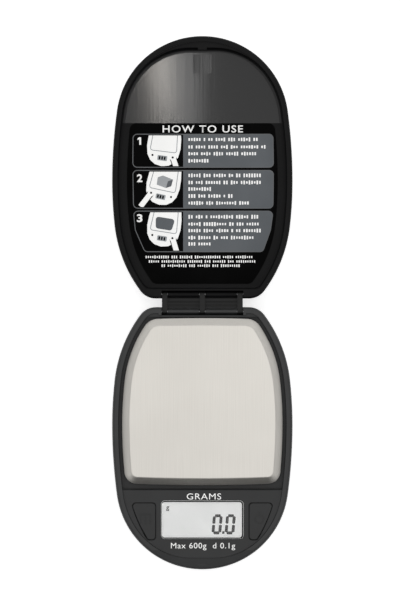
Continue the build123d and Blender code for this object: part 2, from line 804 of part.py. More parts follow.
for side, name, end in ((-1, "units_key", "left"), (1, "power_key", "right")):
    with BuildPart() as key:
        with BuildSketch(Plane.XY.offset(key_underside + key_flange_thickness)):
            add(key_outline(side))
        extrude(amount=key_top - key_underside - key_flange_thickness)
        fillet(key.faces().sort_by(Axis.Z)[-1].edges(), radius=key_round)
        with BuildSketch(Plane.XY.offset(key_underside)):
            add(key_outline(side, key_gap + key_flange))
            add(panel_hollow(key_gap), mode=Mode.INTERSECT)
        extrude(amount=key_flange_thickness)
        with BuildSketch(Plane.XY.offset(key_top - mark_depth)):
            add(key_mark(side))
        extrude(amount=mark_depth, mode=Mode.SUBTRACT)
    keep(name, key)

    with BuildPart() as switch_body:
        with BuildSketch(Plane.XY.offset(board_top)):
            with Locations((side * switch_x, case_y(switch_middle))):
                Rectangle(switch_size, switch_size)
        extrude(amount=switch_height)
        with BuildSketch(Plane.XY.offset(board_top + switch_height)):
            with Locations((side * switch_x, case_y(switch_middle))):
                Circle(plunger_radius + plunger_clearance)
        extrude(amount=-2 * plunger_sink, mode=Mode.SUBTRACT)
    keep("key_switch_" + end, switch_body)

    with BuildPart() as switch_plunger:
        with BuildSketch(Plane.XY.offset(key_underside)):
            with Locations((side * switch_x, case_y(switch_middle))):
                Circle(plunger_radius)
        extrude(amount=-(plunger_height + plunger_sink))
    keep("switch_plunger_" + end, switch_plunger)


# ---------------------------------------------------------------- load cell
with BuildPart() as load_cell:
    with BuildSketch(Plane.XY.offset(cell_bottom)):
        with Locations((0, case_y(cell_middle))):
            Rectangle(cell_length, cell_width)
        for end_x in (-cell_end, cell_end):
            for offset_x in cell_screw_offsets:
                with Locations((end_x + offset_x, case_y(cell_middle))):
                    Circle(cell_screw_radius + screw_clearance, mode=Mode.SUBTRACT)
    extrude(amount=cell_height)
    with BuildSketch(Plane.XZ.offset(-case_y(cell_middle + cell_width / 2))):
        with Locations((0, (cell_bottom + cell_top) / 2)):
            Rectangle(cell_hole_spacing, cell_slot)
        for hole_x in (-cell_hole_spacing / 2, cell_hole_spacing / 2):
            with Locations((hole_x, (cell_bottom + cell_top) / 2)):
                Circle(cell_hole_radius)
    extrude(amount=-cell_width, mode=Mode.SUBTRACT)
keep("load_cell", load_cell)

with BuildPart() as strain_gauges:
    for height in (cell_top, cell_bottom - gauge_thickness):
        with BuildSketch(Plane.XY.offset(height)):
            for gauge_x in (-cell_hole_spacing / 2, cell_hole_spacing / 2):
                with Locations((gauge_x, case_y(cell_middle))):
                    Rectangle(gauge_length, gauge_width)
        extrude(amount=gauge_thickness)
keep("strain_gauges", strain_gauges)


# ---------------------------------------------------------------- weighing platform
with BuildPart() as weighing_tray:
    with BuildSketch(Plane.XY.offset(tray_bottom)):
        add(tray_outline())
    extrude(amount=tray_lip)
    with BuildSketch(Plane.XY.offset(tray_bottom + tray_lip)):
        add(tray_outline())
    with BuildSketch(Plane.XY.offset(tray_top)):
        add(tray_outline(tray_slope_height * tray_slope))
    loft(ruled=True)
    fillet(weighing_tray.faces().sort_by(Axis.Z)[-1].edges(), radius=tray_bend)

    # the inside follows the outside one sheet thickness away
    slope_run = tray_sheet / cos(radians(tray_slope_angle))
    inner_start = tray_bottom + tray_lip - (slope_run - tray_sheet) / tray_slope
    with BuildSketch(Plane.XY.offset(tray_bottom)):
        add(tray_outline(tray_sheet))
    extrude(amount=inner_start - tray_bottom, mode=Mode.SUBTRACT)
    with BuildSketch(Plane.XY.offset(inner_start)):
        add(tray_outline(tray_sheet))
    with BuildSketch(Plane.XY.offset(pad_top)):
        add(tray_outline(tray_sheet + (pad_top - inner_start) * tray_slope))
    loft(ruled=True, mode=Mode.SUBTRACT)
keep("weighing_tray", weighing_tray)

carrier_middle = (tray_front + tray_hinge_margin) / 2
pad_reach_x = half_width - tray_inset - carrier_inset - carrier_rim / 2
pad_reach_y = (tray_front - tray_hinge_margin) / 2 - carrier_inset - carrier_rim / 2
pad_places = [
    (0, case_y(carrier_middle) + pad_reach_y),
    (0, case_y(carrier_middle) - pad_reach_y),
    (-pad_reach_x, case_y(carrier_middle)),
    (pad_reach_x, case_y(carrier_middle)),
]

with BuildPart() as platform_carrier:
    with BuildSketch(Plane.XY.offset(carrier_bottom)):
        add(tray_outline(carrier_inset))
        add(tray_outline(carrier_inset + carrier_rim - fit_gap), mode=Mode.SUBTRACT)
    extrude(amount=carrier_thickness)
    with BuildSketch(Plane.XY.offset(carrier_bottom)):
        with Locations((0, case_y(cell_middle))):
            Rectangle(2 * pad_reach_x, carrier_spine)
        with Locations((0, case_y(carrier_middle))):
            Rectangle(carrier_spine, 2 * pad_reach_y)
    extrude(amount=carrier_thickness)
    with BuildSketch(Plane.XY.offset(cell_top)):
        with Locations((cell_end, case_y(cell_middle))):
            Rectangle(cell_block_length, cell_width)
    extrude(amount=carrier_top - cell_top)
    with BuildSketch(Plane.XY.offset(carrier_top)):
        for offset_x in cell_screw_offsets:
            with Locations((cell_end + offset_x, case_y(cell_middle))):
                Circle(cell_screw_head + screw_clearance)
    extrude(amount=-(carrier_top - platform_screw_seat), mode=Mode.SUBTRACT)
    with BuildSketch(Plane.XY.offset(cell_top)):
        for offset_x in cell_screw_offsets:
            with Locations((cell_end + offset_x, case_y(cell_middle))):
                Circle(cell_screw_radius)
    extrude(amount=platform_screw_seat - cell_top, mode=Mode.SUBTRACT)
keep("platform_carrier", platform_carrier)

with BuildPart() as tray_pads:
    with BuildSketch(Plane.XY.offset(carrier_top)):
        with Locations(*pad_places):
            Rectangle(pad_size, pad_size)
    extrude(amount=pad_thickness)
keep("tray_pads", tray_pads)


# ---------------------------------------------------------------- hinge link and pins
with BuildPart() as hinge_link:
    strap_starts = (-hinge_half, -strap_width / 2, hinge_half - strap_width)
    for start in strap_starts:
        with BuildSketch(Plane.YZ.offset(start)):
            with Locations((0, pin_height)):
                SlotCenterToCenter(2 * pin_offset, 2 * knuckle_radius)
        extrude(amount=strap_width)
    with BuildSketch(Plane.YZ.offset(-hinge_half)):
        web_bottom = pin_height - knuckle_radius
        with Locations((0, web_bottom + link_web_thickness / 2)):
            Rectangle(2 * link_web_half, link_web_thickness)
        with Locations((-link_ridge_width / 2, web_bottom + link_ridge_height / 2)):
            Rectangle(link_ridge_width, link_ridge_height)
        with Locations((link_web_half - link_ledge_width / 2, web_bottom + link_ledge_height / 2)):
            Rectangle(link_ledge_width, link_ledge_height)
    extrude(amount=2 * hinge_half)
    with BuildSketch(Plane.YZ.offset(-hinge_half)):
        for half in (BASE, LID):
            with Locations((half * pin_offset, pin_height)):
                Circle(pin_radius + pin_clearance)
    extrude(amount=2 * hinge_half, mode=Mode.SUBTRACT)
keep("hinge_link", hinge_link)

for name, half in (("hinge_pin_base", BASE), ("hinge_pin_lid", LID)):
    with BuildPart() as hinge_pin:
        with BuildSketch(Plane.YZ.offset(-pin_half)):
            with Locations((half * pin_offset, pin_height)):
                Circle(pin_radius)
        extrude(amount=2 * pin_half)
    keep(name, hinge_pin)


# ---------------------------------------------------------------- lid
def crown_bar(radius):
    """Round bar along Y whose lowest part is the lid's crowned back or its inner floor."""
    with BuildPart() as bar:
        with BuildSketch(Plane.XZ.offset(-lid_y(case_length + 1))):
            with Locations((0, rim_height - lid_depth + lid_crown_radius)):
                Circle(radius)
        extrude(amount=case_length + 2)
    return bar.part


with BuildPart() as lid_room:
    # the space inside the lid, floored by the crown
    with BuildSketch(Plane.XY.offset(rim_height - lid_depth)):
        add(trimmed_outline(LID, lid_wall, lid_room_start, rim_nose_width, lid_room_corner, nose_blend))
    extrude(amount=lid_depth)
    add(crown_bar(lid_crown_radius - lid_shell_thickness), mode=Mode.INTERSECT)
    fillet(lid_room.faces().sort_by(Axis.Z)[0].edges(), radius=lid_inner_round)

with BuildPart() as lid_shell:
    with BuildSketch(Plane.XY.offset(rim_height - lid_depth)):
        add(plan_outline(LID))
    extrude(amount=lid_depth)
    add(crown_bar(lid_crown_radius), mode=Mode.INTERSECT)
    fillet(lid_shell.faces().sort_by(Axis.Z)[0].edges(), radius=lid_back_round)
    fillet(lid_shell.edges().group_by(Axis.Z)[-1], radius=rim_round)
    add(lid_room.part, mode=Mode.SUBTRACT)
    with BuildSketch(Plane.XY.offset(rim_height - lid_step_depth)):
        add(plan_outline(LID, lid_wall))
        add(hinge_block(LID, case_width, lid_room_start), mode=Mode.SUBTRACT)
    extrude(amount=lid_step_depth, mode=Mode.SUBTRACT)

    # hinge pocket with its two knuckles
    with BuildSketch(Plane.XY.offset(notch_floor)):
        add(hinge_block(LID, 2 * notch_half, notch_depth))
    extrude(amount=rim_height - notch_floor, mode=Mode.SUBTRACT)
    for start in (-knuckle_start - knuckle_length, knuckle_start):
        with BuildSketch(Plane.YZ.offset(start)):
            add(knuckle_section(LID))
        extrude(amount=knuckle_length)
    with BuildSketch(Plane.YZ.offset(-pin_half)):
        with Locations((pin_offset, pin_height)):
            Circle(pin_radius)
    extrude(amount=2 * pin_half, mode=Mode.SUBTRACT)

    # faint square pad on the floor and a small lug under the shelf at the nose
    with BuildSketch(Plane.XY.offset(lid_floor)):
        with Locations((0, lid_y(case_length - lid_pad_from_nose))):
            Rectangle(lid_pad_size, lid_pad_size)
    extrude(amount=lid_pad_height)
    with BuildSketch(Plane.XY.offset(rim_height - lid_step_depth)):
        with Locations((0, lid_y(case_length - rim_nose_width - lid_lug_length / 2))):
            Rectangle(lid_lug_width, lid_lug_length)
    extrude(amount=-lid_lug_height)
keep("lid_shell", lid_shell)

with BuildPart() as guide_label:
    with BuildSketch(Plane.XY.offset(rim_height - lid_depth)):
        add(label_outline())
    extrude(amount=lid_depth)
    glue_radius = lid_crown_radius - lid_shell_thickness - glue_gap
    add(crown_bar(glue_radius), mode=Mode.INTERSECT)
    add(crown_bar(glue_radius - label_thickness), mode=Mode.SUBTRACT)
keep("guide_label", guide_label)


# ---------------------------------------------------------------- battery door
with BuildPart() as battery_door:
    with BuildSketch(Plane.XY.offset(foot_height)):
        with Locations((0, case_y(bay_middle))):
            Rectangle(door_length, door_width)
    extrude(amount=door_thickness)

    # ribs that carry the cells
    with BuildSketch(Plane.XY.offset(door_top)):
        with GridLocations(door_rib_spacing, 0, 2, 1):
            with Locations((0, case_y(bay_middle))):
                Rectangle(door_rib_width, bay_width - 4 * latch_thickness)
    extrude(amount=battery_over_door - fit_gap)

    # hooks that reach over the ledge at the front
    hook_bottom = floor_top + hook_lift
    with BuildSketch(Plane.XY.offset(door_top)):
        with GridLocations(hook_spacing, 0, 2, 1):
            with Locations((0, case_y(bay_front - key_gap - hook_thickness / 2))):
                Rectangle(hook_width, hook_thickness)
    extrude(amount=hook_bottom + hook_thickness - door_top)
    with BuildSketch(Plane.XY.offset(hook_bottom)):
        hook_length = hook_reach + key_gap + hook_thickness
        with GridLocations(hook_spacing, 0, 2, 1):
            with Locations((0, case_y(bay_front + hook_reach - hook_length / 2))):
                Rectangle(hook_width, hook_length)
    extrude(amount=hook_thickness)

    # springy latch at the back and the finger grooves beside it
    with BuildSketch(Plane.XY.offset(door_top)):
        with Locations((0, case_y(bay_rear + fit_gap + latch_thickness / 2))):
            Rectangle(latch_width, latch_thickness)
    extrude(amount=latch_height)
    with BuildSketch(Plane.XY.offset(foot_height)):
        with Locations((0, case_y(bay_rear + 2 * door_overlap))):
            with GridLocations(0, 2 * latch_thickness, 1, 3):
                SlotOverall(grip_groove_length, latch_thickness)
    extrude(amount=grip_depth, mode=Mode.SUBTRACT)
keep("battery_door", battery_door)


# ---------------------------------------------------------------- batteries and contacts
for number, side in ((1, 1), (2, -1)):
    # the first cell lies nearer the nose with its tip to the right, the second the other way round
    axis_y = case_y(bay_middle + side * battery_pitch / 2)
    tip = side * battery_tip
    with BuildPart() as battery_cell:
        with BuildSketch(Plane.YZ.offset(tip - side * battery_nub)):
            with Locations((axis_y, battery_height)):
                Circle(battery_radius)
        extrude(amount=-side * battery_length)
        fillet(battery_cell.edges().filter_by(GeomType.CIRCLE), radius=battery_round)
        with BuildSketch(Plane.YZ.offset(tip - side * battery_nub)):
            with Locations((axis_y, battery_height)):
                Circle(battery_nub_radius)
        extrude(amount=side * battery_nub)
    keep("battery_cell_" + str(number), battery_cell)

    spring_start = -side * (bay_length / 2 - contact_plate)
    with BuildPart() as battery_spring:
        with BuildLine():
            coil = Helix(
                pitch=(spring_length - spring_wire) / spring_turns,
                height=spring_length - spring_wire,
                radius=spring_radius,
                center=(spring_start + side * spring_wire / 2, axis_y, battery_height),
                direction=(side, 0, 0),
            )
        with BuildSketch(Plane(origin=coil @ 0, z_dir=coil % 0)):
            Circle(spring_wire / 2)
        sweep()
    keep("battery_spring_" + str(number), battery_spring)

with BuildPart() as contact_bridge:
    with BuildSketch(Plane.YZ.offset(bay_length / 2 - contact_plate)):
        with Locations((case_y(bay_middle), battery_height)):
            Rectangle(battery_pitch + contact_width, contact_height)
    extrude(amount=contact_plate)
keep("contact_bridge", contact_bridge)

with BuildPart() as end_contacts:
    with BuildSketch(Plane.YZ.offset(-bay_length / 2)):
        for side in (-1, 1):
            with Locations((case_y(bay_middle + side * battery_pitch / 2), battery_height)):
                Rectangle(contact_width, contact_height)
    extrude(amount=contact_plate)
keep("end_contacts", end_contacts)


# ---------------------------------------------------------------- screws
def screw_set(name, places, seat, head_radius, head_height, shaft_radius, shaft_length, recess):
    """Screws at places, each with its head on one side of its seat and its shaft on the other.

    A positive shaft_length points up. A head has a cross recess of the given arm width.
    """
    up = 1 if shaft_length > 0 else -1
    with BuildPart() as screws:
        with BuildSketch(Plane.XY.offset(seat)):
            with Locations(*places):
                Circle(head_radius)
        extrude(amount=-up * head_height)
        with BuildSketch(Plane.XY.offset(seat - up * head_height)):
            for turn in (0, 90):
                with Locations(*places):
                    Rectangle(recess_reach * recess, recess_arm * recess, rotation=turn)
        extrude(amount=up * head_height / 2, mode=Mode.SUBTRACT)
        with BuildSketch(Plane.XY.offset(seat)):
            with Locations(*places):
                Circle(shaft_radius)
        extrude(amount=shaft_length)
    keep(name, screws)


screw_set(
    "case_screws",
    case_screw_places,
    screw_seat,
    case_screw_head,
    case_screw_head_height,
    case_screw_radius,
    case_screw_length,
    case_screw_radius,
)
screw_set(
    "board_screws",
    board_screw_places,
    board_top,
    board_screw_head,
    board_screw_head_height,
    board_screw_radius,
    -board_screw_length,
    board_screw_radius,
)
screw_set(
    "cell_screws",
    [(offset_x - cell_end, case_y(cell_middle)) for offset_x in cell_screw_offsets],
    screw_seat,
    cell_screw_head,
    case_screw_head_height,
    cell_screw_radius,
    cell_bottom - screw_seat + cell_screw_grip,
    case_screw_radius,
)
screw_set(
    "platform_screws",
    [(cell_end + offset_x, case_y(cell_middle)) for offset_x in cell_screw_offsets],
    platform_screw_seat,
    cell_screw_head,
    case_screw_head_height,
    cell_screw_radius,
    -(platform_screw_seat - cell_top + cell_screw_grip),
    case_screw_radius,
)

with BuildPart() as overload_stop:
    stop_top = cell_bottom - stop_gap
    with BuildSketch(Plane.XY.offset(stop_top)):
        with Locations((cell_end, case_y(cell_middle))):
            Circle(cell_screw_radius)
    extrude(amount=-(stop_top - foot_height - grip_depth))
    with BuildSketch(Plane.XY.offset(foot_height + grip_depth)):
        with Locations((cell_end, case_y(cell_middle))):
            RegularPolygon(case_screw_radius * 0.8, 6)
    extrude(amount=floor_thickness, mode=Mode.SUBTRACT)
keep("overload_stop", overload_stop)


# ---------------------------------------------------------------- feet
for name, place in foot_places.items():
    with BuildPart() as foot:
        with BuildSketch():
            with Locations(place):
                Circle(foot_radius)
        extrude(amount=foot_height + foot_sink)
        fillet(foot.edges().group_by(Axis.Z)[0], radius=foot_round)
    keep("foot_" + name, foot)


os.makedirs("parts", exist_ok=True)
for name, piece in parts.items():
    export_step(piece, f"parts/{name}.step")
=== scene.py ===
# %% [markdown]
# # A pocket gram scale with a folding lid
# The shapes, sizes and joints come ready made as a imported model. This lesson gives them their
# looks: moulded plastics, a brushed steel tray, a liquid crystal display and a printed guide in the
# lid. Lengths below are given in millimetres and turned to metres with `mm`.

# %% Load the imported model
import math

import bmesh
import bpy
from mathutils import Matrix, Vector


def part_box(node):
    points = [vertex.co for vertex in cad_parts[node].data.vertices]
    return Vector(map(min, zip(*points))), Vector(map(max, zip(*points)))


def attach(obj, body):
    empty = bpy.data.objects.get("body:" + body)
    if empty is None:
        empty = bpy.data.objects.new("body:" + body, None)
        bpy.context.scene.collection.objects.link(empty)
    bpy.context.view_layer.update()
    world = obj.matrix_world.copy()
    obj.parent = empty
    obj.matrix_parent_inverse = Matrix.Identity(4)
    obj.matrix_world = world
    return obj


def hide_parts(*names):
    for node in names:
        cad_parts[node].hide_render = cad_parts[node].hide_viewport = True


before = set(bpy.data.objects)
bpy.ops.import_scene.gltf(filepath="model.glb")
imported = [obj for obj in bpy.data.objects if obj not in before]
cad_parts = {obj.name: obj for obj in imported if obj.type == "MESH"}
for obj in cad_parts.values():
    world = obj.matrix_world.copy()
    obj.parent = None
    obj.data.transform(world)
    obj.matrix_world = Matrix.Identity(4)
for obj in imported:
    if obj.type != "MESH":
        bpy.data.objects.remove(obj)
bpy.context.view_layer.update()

scene = bpy.context.scene
mm = 0.001

# %% [markdown]
# ## Camera
# The scale lies open and is seen from straight above. A long lens far away keeps the two halves the
# same size, as a true plan view does. An orthographic camera would also do, but a long lens frames
# the object well from every other side too.

# %% Camera
view_length = 256.3 * mm  # long side of the picture at the height of the rims
lens = 250.0
sensor = 36.0
rim_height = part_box("lower_case")[1].z
camera_data = bpy.data.cameras.new("plan_camera")
camera_data.lens = lens
camera_data.sensor_width = sensor
camera = bpy.data.objects.new("plan_camera", camera_data)
scene.collection.objects.link(camera)
scene.camera = camera
camera.location = (-1.0 * mm, 1.0 * mm, rim_height + view_length * lens / sensor)
camera_data.clip_end = 20.0
print("camera height", round(camera.location.z, 3), "m")

# %% [markdown]
# ## Floor and light
# A plain white floor, a soft surround and three soft boxes. Dark plastic and steel show almost
# nothing but reflections, so the light is placed for them. The surround is dark straight in front, so
# the tray's front slope turns dark while the other slopes stay bright. The wide box gives the rims and
# the tray a quiet sheen, and the two narrow ones lie where the lid's curved floor mirrors them as a
# streak that fades to one side. The floor glows a little, as a lit sweep does, to soften shadows.

# %% Helpers for nodes and colours
def colour(code):
    """The linear RGBA that shaders want, from an sRGB hex value."""
    parts = [int(code[i : i + 2], 16) / 255 for i in (1, 3, 5)]
    return (*[c / 12.92 if c <= 0.04045 else ((c + 0.055) / 1.055) ** 2.4 for c in parts], 1.0)


def add_node(tree, kind, inputs=None, **settings):
    """Adds a node, sets its own settings, then fills or links its inputs by name or number."""
    node = tree.nodes.new(kind)
    for name, value in settings.items():
        setattr(node, name, value)
    for name, value in (inputs or {}).items():
        if isinstance(value, bpy.types.NodeSocket):
            tree.links.new(value, node.inputs[name])
        else:
            node.inputs[name].default_value = value
    return node


print("white is", colour("#FFFFFF"))

# %% Surround, floor and soft boxes
world = bpy.data.worlds.new("studio")
world.use_nodes = True
world.node_tree.nodes.clear()
compass = add_node(world.node_tree, "ShaderNodeTexCoord").outputs["Generated"]
direction = add_node(world.node_tree, "ShaderNodeSeparateXYZ", {"Vector": compass})
front_to_back = add_node(
    world.node_tree, "ShaderNodeMapRange",
    {"Value": direction.outputs["Y"], "From Min": -1.0, "From Max": 1.0},
)
brightness = add_node(world.node_tree, "ShaderNodeValToRGB", {"Fac": front_to_back.outputs["Result"]})
for position, level in ((0.04, 0.05), (0.2, 0.7), (0.55, 0.62)):
    stop = brightness.color_ramp.elements.new(position)
    stop.color = (level, level, level, 1.0)
surround = add_node(world.node_tree, "ShaderNodeBackground", {"Color": brightness.outputs["Color"]})
add_node(world.node_tree, "ShaderNodeOutputWorld", {"Surface": surround.outputs["Background"]})
scene.world = world
scene.view_settings.view_transform = "Standard"

floor_mesh = bpy.data.meshes.new("floor")
floor_mesh.from_pydata([(-3, -3, 0), (3, -3, 0), (3, 3, 0), (-3, 3, 0)], [], [(0, 1, 2, 3)])
floor = bpy.data.objects.new("floor", floor_mesh)
floor.location.z = -0.0002
scene.collection.objects.link(floor)
floor_paint = bpy.data.materials.new("floor_white_paint")
floor_paint.use_nodes = True
floor_shader = floor_paint.node_tree.nodes["Principled BSDF"]
for socket, value in {
    "Base Color": colour("#FAFAFA"), "Roughness": 0.9, "Specular IOR Level": 0.0,
    "Emission Color": colour("#FFFFFF"), "Emission Strength": 0.6,
}.items():
    floor_shader.inputs[socket].default_value = value
floor_mesh.materials.append(floor_paint)


def soft_box(name, place, aim, width, length, radiance, tint=(1, 1, 1)):
    """A rectangular light of this tint that faces aim and is this bright to look at."""
    lamp = bpy.data.lights.new(name, "AREA")
    lamp.shape = "RECTANGLE"
    lamp.size = width
    lamp.size_y = length
    lamp.energy = radiance * math.pi * width * length
    lamp.color = tint
    box = bpy.data.objects.new(name, lamp)
    box.location = place
    box.rotation_mode = "QUATERNION"
    box.rotation_quaternion = (Vector(aim) - Vector(place)).to_track_quat("-Z", "Y")
    scene.collection.objects.link(box)


lid_floor_middle = (0, 0.09, 0)
warm_white = (1.0, 0.95, 0.88)
soft_box("wide_box", (0.0, 0.0, 2.1), (0, 0, 0), 1.2, 1.2, 0.62)
soft_box("streak_box", (0.2, 0.215, 1.9), lid_floor_middle, 0.035, 0.14, 40.0, warm_white)
soft_box("fade_box", (0.09, 0.2, 1.9), lid_floor_middle, 0.12, 0.16, 5.2)

# %% [markdown]
# ## Moulded plastic
# The case, lid, keys and link are injection-moulded ABS. The mould was spark-eroded, which leaves a
# fine matt grain and hides finger marks. A flat colour would look like paint, so each plastic gets
# a slow flow mottling, a fine grain in its relief and a gloss that wanders a little. All sizes are
# real ones; the grain is drawn at 0.25 mm, a little coarser than life, so that it shows at all.

# %% Moulded plastic
def cells(size):
    """Texture scale for spots this many millimetres apart."""
    return 1000 / size


def new_material(name, **shader_values):
    """A material with one Principled shader, its constants on its own sockets."""
    material = bpy.data.materials.new(name)
    material.use_nodes = True
    tree = material.node_tree
    tree.nodes.clear()
    shader = add_node(tree, "ShaderNodeBsdfPrincipled", shader_values)
    add_node(tree, "ShaderNodeOutputMaterial", {"Surface": shader.outputs["BSDF"]})
    where = add_node(tree, "ShaderNodeTexCoord").outputs["Object"]
    return material, tree, shader, where


def blend_colours(tree, factor, low, high, start=0.35, end=0.65):
    """A colour that runs from one hex value to another as the factor passes from start to end."""
    ramp = add_node(tree, "ShaderNodeValToRGB", {"Fac": factor})
    ramp.color_ramp.elements[0].position = start
    ramp.color_ramp.elements[0].color = colour(low)
    ramp.color_ramp.elements[1].position = end
    ramp.color_ramp.elements[1].color = colour(high)
    return ramp.outputs["Color"]


def moulded(name, dark, light, grain=0.25, roughness=0.5, relief=0.15, **shader_values):
    """Moulded plastic or rubber with flow mottling, grain and a gloss that wanders."""
    material, tree, shader, where = new_material(name, **shader_values)
    flow = add_node(tree, "ShaderNodeTexNoise", {"Vector": where, "Scale": cells(16), "Detail": 3.0})
    fine = add_node(tree, "ShaderNodeTexNoise", {"Vector": where, "Scale": cells(grain), "Detail": 2.0})
    gloss = add_node(
        tree, "ShaderNodeMapRange",
        {"Value": fine.outputs["Fac"], "To Min": roughness - 0.07, "To Max": roughness + 0.07},
    )
    bump = add_node(
        tree, "ShaderNodeBump",
        {"Height": fine.outputs["Fac"], "Strength": relief, "Distance": 0.03 * mm},
    )
    tree.links.new(blend_colours(tree, flow.outputs["Fac"], dark, light), shader.inputs["Base Color"])
    tree.links.new(gloss.outputs["Result"], shader.inputs["Roughness"])
    tree.links.new(bump.outputs["Normal"], shader.inputs["Normal"])
    return material


ABS = {"IOR": 1.54}
finishes = {
    "case_abs": moulded("charcoal_abs_case", "#1B1C1D", "#222324", roughness=0.46, **ABS),
    "panel_abs": moulded("charcoal_abs_panel", "#161718", "#1D1E1F", roughness=0.52, **ABS),
    "key_abs": moulded("charcoal_abs_keys", "#101112", "#161718", roughness=0.5, **ABS),
    "link_abs": moulded(
        "black_abs_link", "#0C0C0C", "#101010", roughness=0.5, **ABS, **{"Specular IOR Level": 0.3}
    ),
    "door_abs": moulded("charcoal_abs_door", "#18191A", "#1F2021", roughness=0.5, **ABS),
    "frame_abs": moulded("black_abs_frame", "#0B0B0C", "#101011", roughness=0.55, **ABS),
    "carrier_abs": moulded("black_abs_carrier", "#111112", "#161617", roughness=0.5, **ABS),
    "connector_nylon": moulded("white_nylon_connector", "#D8D4C8", "#E6E3DA", IOR=1.53),
    "switch_nylon": moulded("black_nylon_switch", "#1A1A1A", "#222222", IOR=1.53),
    "plunger_nylon": moulded("brown_nylon_plunger", "#5A4632", "#6B5540", roughness=0.4, IOR=1.53),
    "cable_vinyl": moulded("grey_vinyl_cable", "#B0B3B8", "#C2C5CA", roughness=0.4, IOR=1.53),
    "foot_rubber": moulded("black_rubber_feet", "#121212", "#1A1A1A", grain=0.4, roughness=0.8, relief=0.5),
    "zebra_rubber": moulded("zebra_rubber_strips", "#2A2A2A", "#3C3C3C", roughness=0.7),
    "gauge_silicone": moulded("white_silicone_coat", "#D9D7CF", "#E8E6DF", roughness=0.3, IOR=1.41),
    "blob_epoxy": moulded("black_epoxy_blob", "#0D0D0D", "#151515", grain=1.2, roughness=0.25),
    "component_ceramic": moulded("tan_ceramic_parts", "#8A7256", "#A58A68", roughness=0.4),
    "pad_foam": moulded("white_foam_pads", "#CFCDC6", "#E4E2DB", grain=0.35, roughness=0.9, relief=0.6),
    "diffuser_acrylic": moulded("milky_acrylic_diffuser", "#E4E6E6", "#F2F3F3", roughness=0.3, IOR=1.49),
}
print(len(finishes), "moulded finishes")

# %% [markdown]
# ## The lid's polished floor
# The lid is the same ABS, but its mould was polished along the lid's length where the floor is. So
# one material has two surfaces: matt grain all over, and on the floor a polished skin, which is a
# coat with fine lengthwise lines. The floor is bowed across the lid, so a mask picks out the points
# whose height fits that bow, past the end of the label. It turns with the lid when the lid shuts.

# %% Lid plastic
label_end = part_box("guide_label")[1].y
floor_height = 11.7 * mm  # of the lid's floor, along its middle
floor_radius = 298.3 * mm  # of the floor's bow, across the lid
floor_reach = 0.25 * mm  # how far from the bow still counts as floor


def lid_plastic():
    material, tree, shader, where = new_material(
        "black_abs_lid_polished_floor",
        **{"IOR": 1.54, "Specular IOR Level": 0.15, "Coat Roughness": 0.12, "Coat IOR": 1.38},
    )
    place = add_node(tree, "ShaderNodeSeparateXYZ", {"Vector": where})
    square = add_node(
        tree, "ShaderNodeMath", {0: place.outputs["X"], 1: place.outputs["X"]}, operation="MULTIPLY"
    )
    bow = add_node(
        tree, "ShaderNodeMath", {0: square.outputs[0], 1: 0.5 / floor_radius, 2: floor_height},
        operation="MULTIPLY_ADD",
    )
    on_floor = add_node(
        tree, "ShaderNodeMath", {0: place.outputs["Z"], 1: bow.outputs[0], 2: floor_reach}, operation="COMPARE"
    )
    past_label = add_node(
        tree, "ShaderNodeMath", {0: place.outputs["Y"], 1: label_end}, operation="GREATER_THAN"
    )
    floor_mask = add_node(
        tree, "ShaderNodeMath", {0: on_floor.outputs[0], 1: past_label.outputs[0]}, operation="MULTIPLY"
    ).outputs[0]
    grain = add_node(tree, "ShaderNodeTexNoise", {"Vector": where, "Scale": cells(0.25), "Detail": 2.0})
    along = add_node(
        tree, "ShaderNodeMapping", {"Vector": where, "Scale": (cells(0.7), cells(40), cells(40))}
    )
    brush = add_node(tree, "ShaderNodeTexNoise", {"Vector": along.outputs[0], "Scale": 1.0, "Detail": 3.0})
    matt = add_node(
        tree, "ShaderNodeMapRange", {"Value": grain.outputs["Fac"], "To Min": 0.45, "To Max": 0.6}
    )
    grain_bump = add_node(
        tree, "ShaderNodeBump", {"Height": grain.outputs["Fac"], "Strength": 0.12, "Distance": 0.03 * mm}
    )
    brush_bump = add_node(
        tree, "ShaderNodeBump", {"Height": brush.outputs["Fac"], "Strength": 0.35, "Distance": 0.03 * mm}
    )
    flow = add_node(tree, "ShaderNodeTexNoise", {"Vector": where, "Scale": cells(16), "Detail": 3.0})
    tint = blend_colours(tree, flow.outputs["Fac"], "#080809", "#0B0B0C")
    tree.links.new(tint, shader.inputs["Base Color"])
    tree.links.new(matt.outputs["Result"], shader.inputs["Roughness"])
    tree.links.new(grain_bump.outputs["Normal"], shader.inputs["Normal"])
    tree.links.new(floor_mask, shader.inputs["Coat Weight"])
    tree.links.new(brush_bump.outputs["Normal"], shader.inputs["Coat Normal"])
    return material


finishes["lid_abs"] = lid_plastic()
print("lid plastic ready")

# %% [markdown]
# ## Metals
# The tray is stainless steel sheet, brushed along its length before pressing, so fine scratches
# run one way and stretch highlights across them. The scratches are real at about 0.05 mm and are
# drawn at 0.3 mm so that they show. The load cell is sawn aluminium, the pins and screws are
# nickel-plated steel, and the contacts are nickel-plated spring steel.

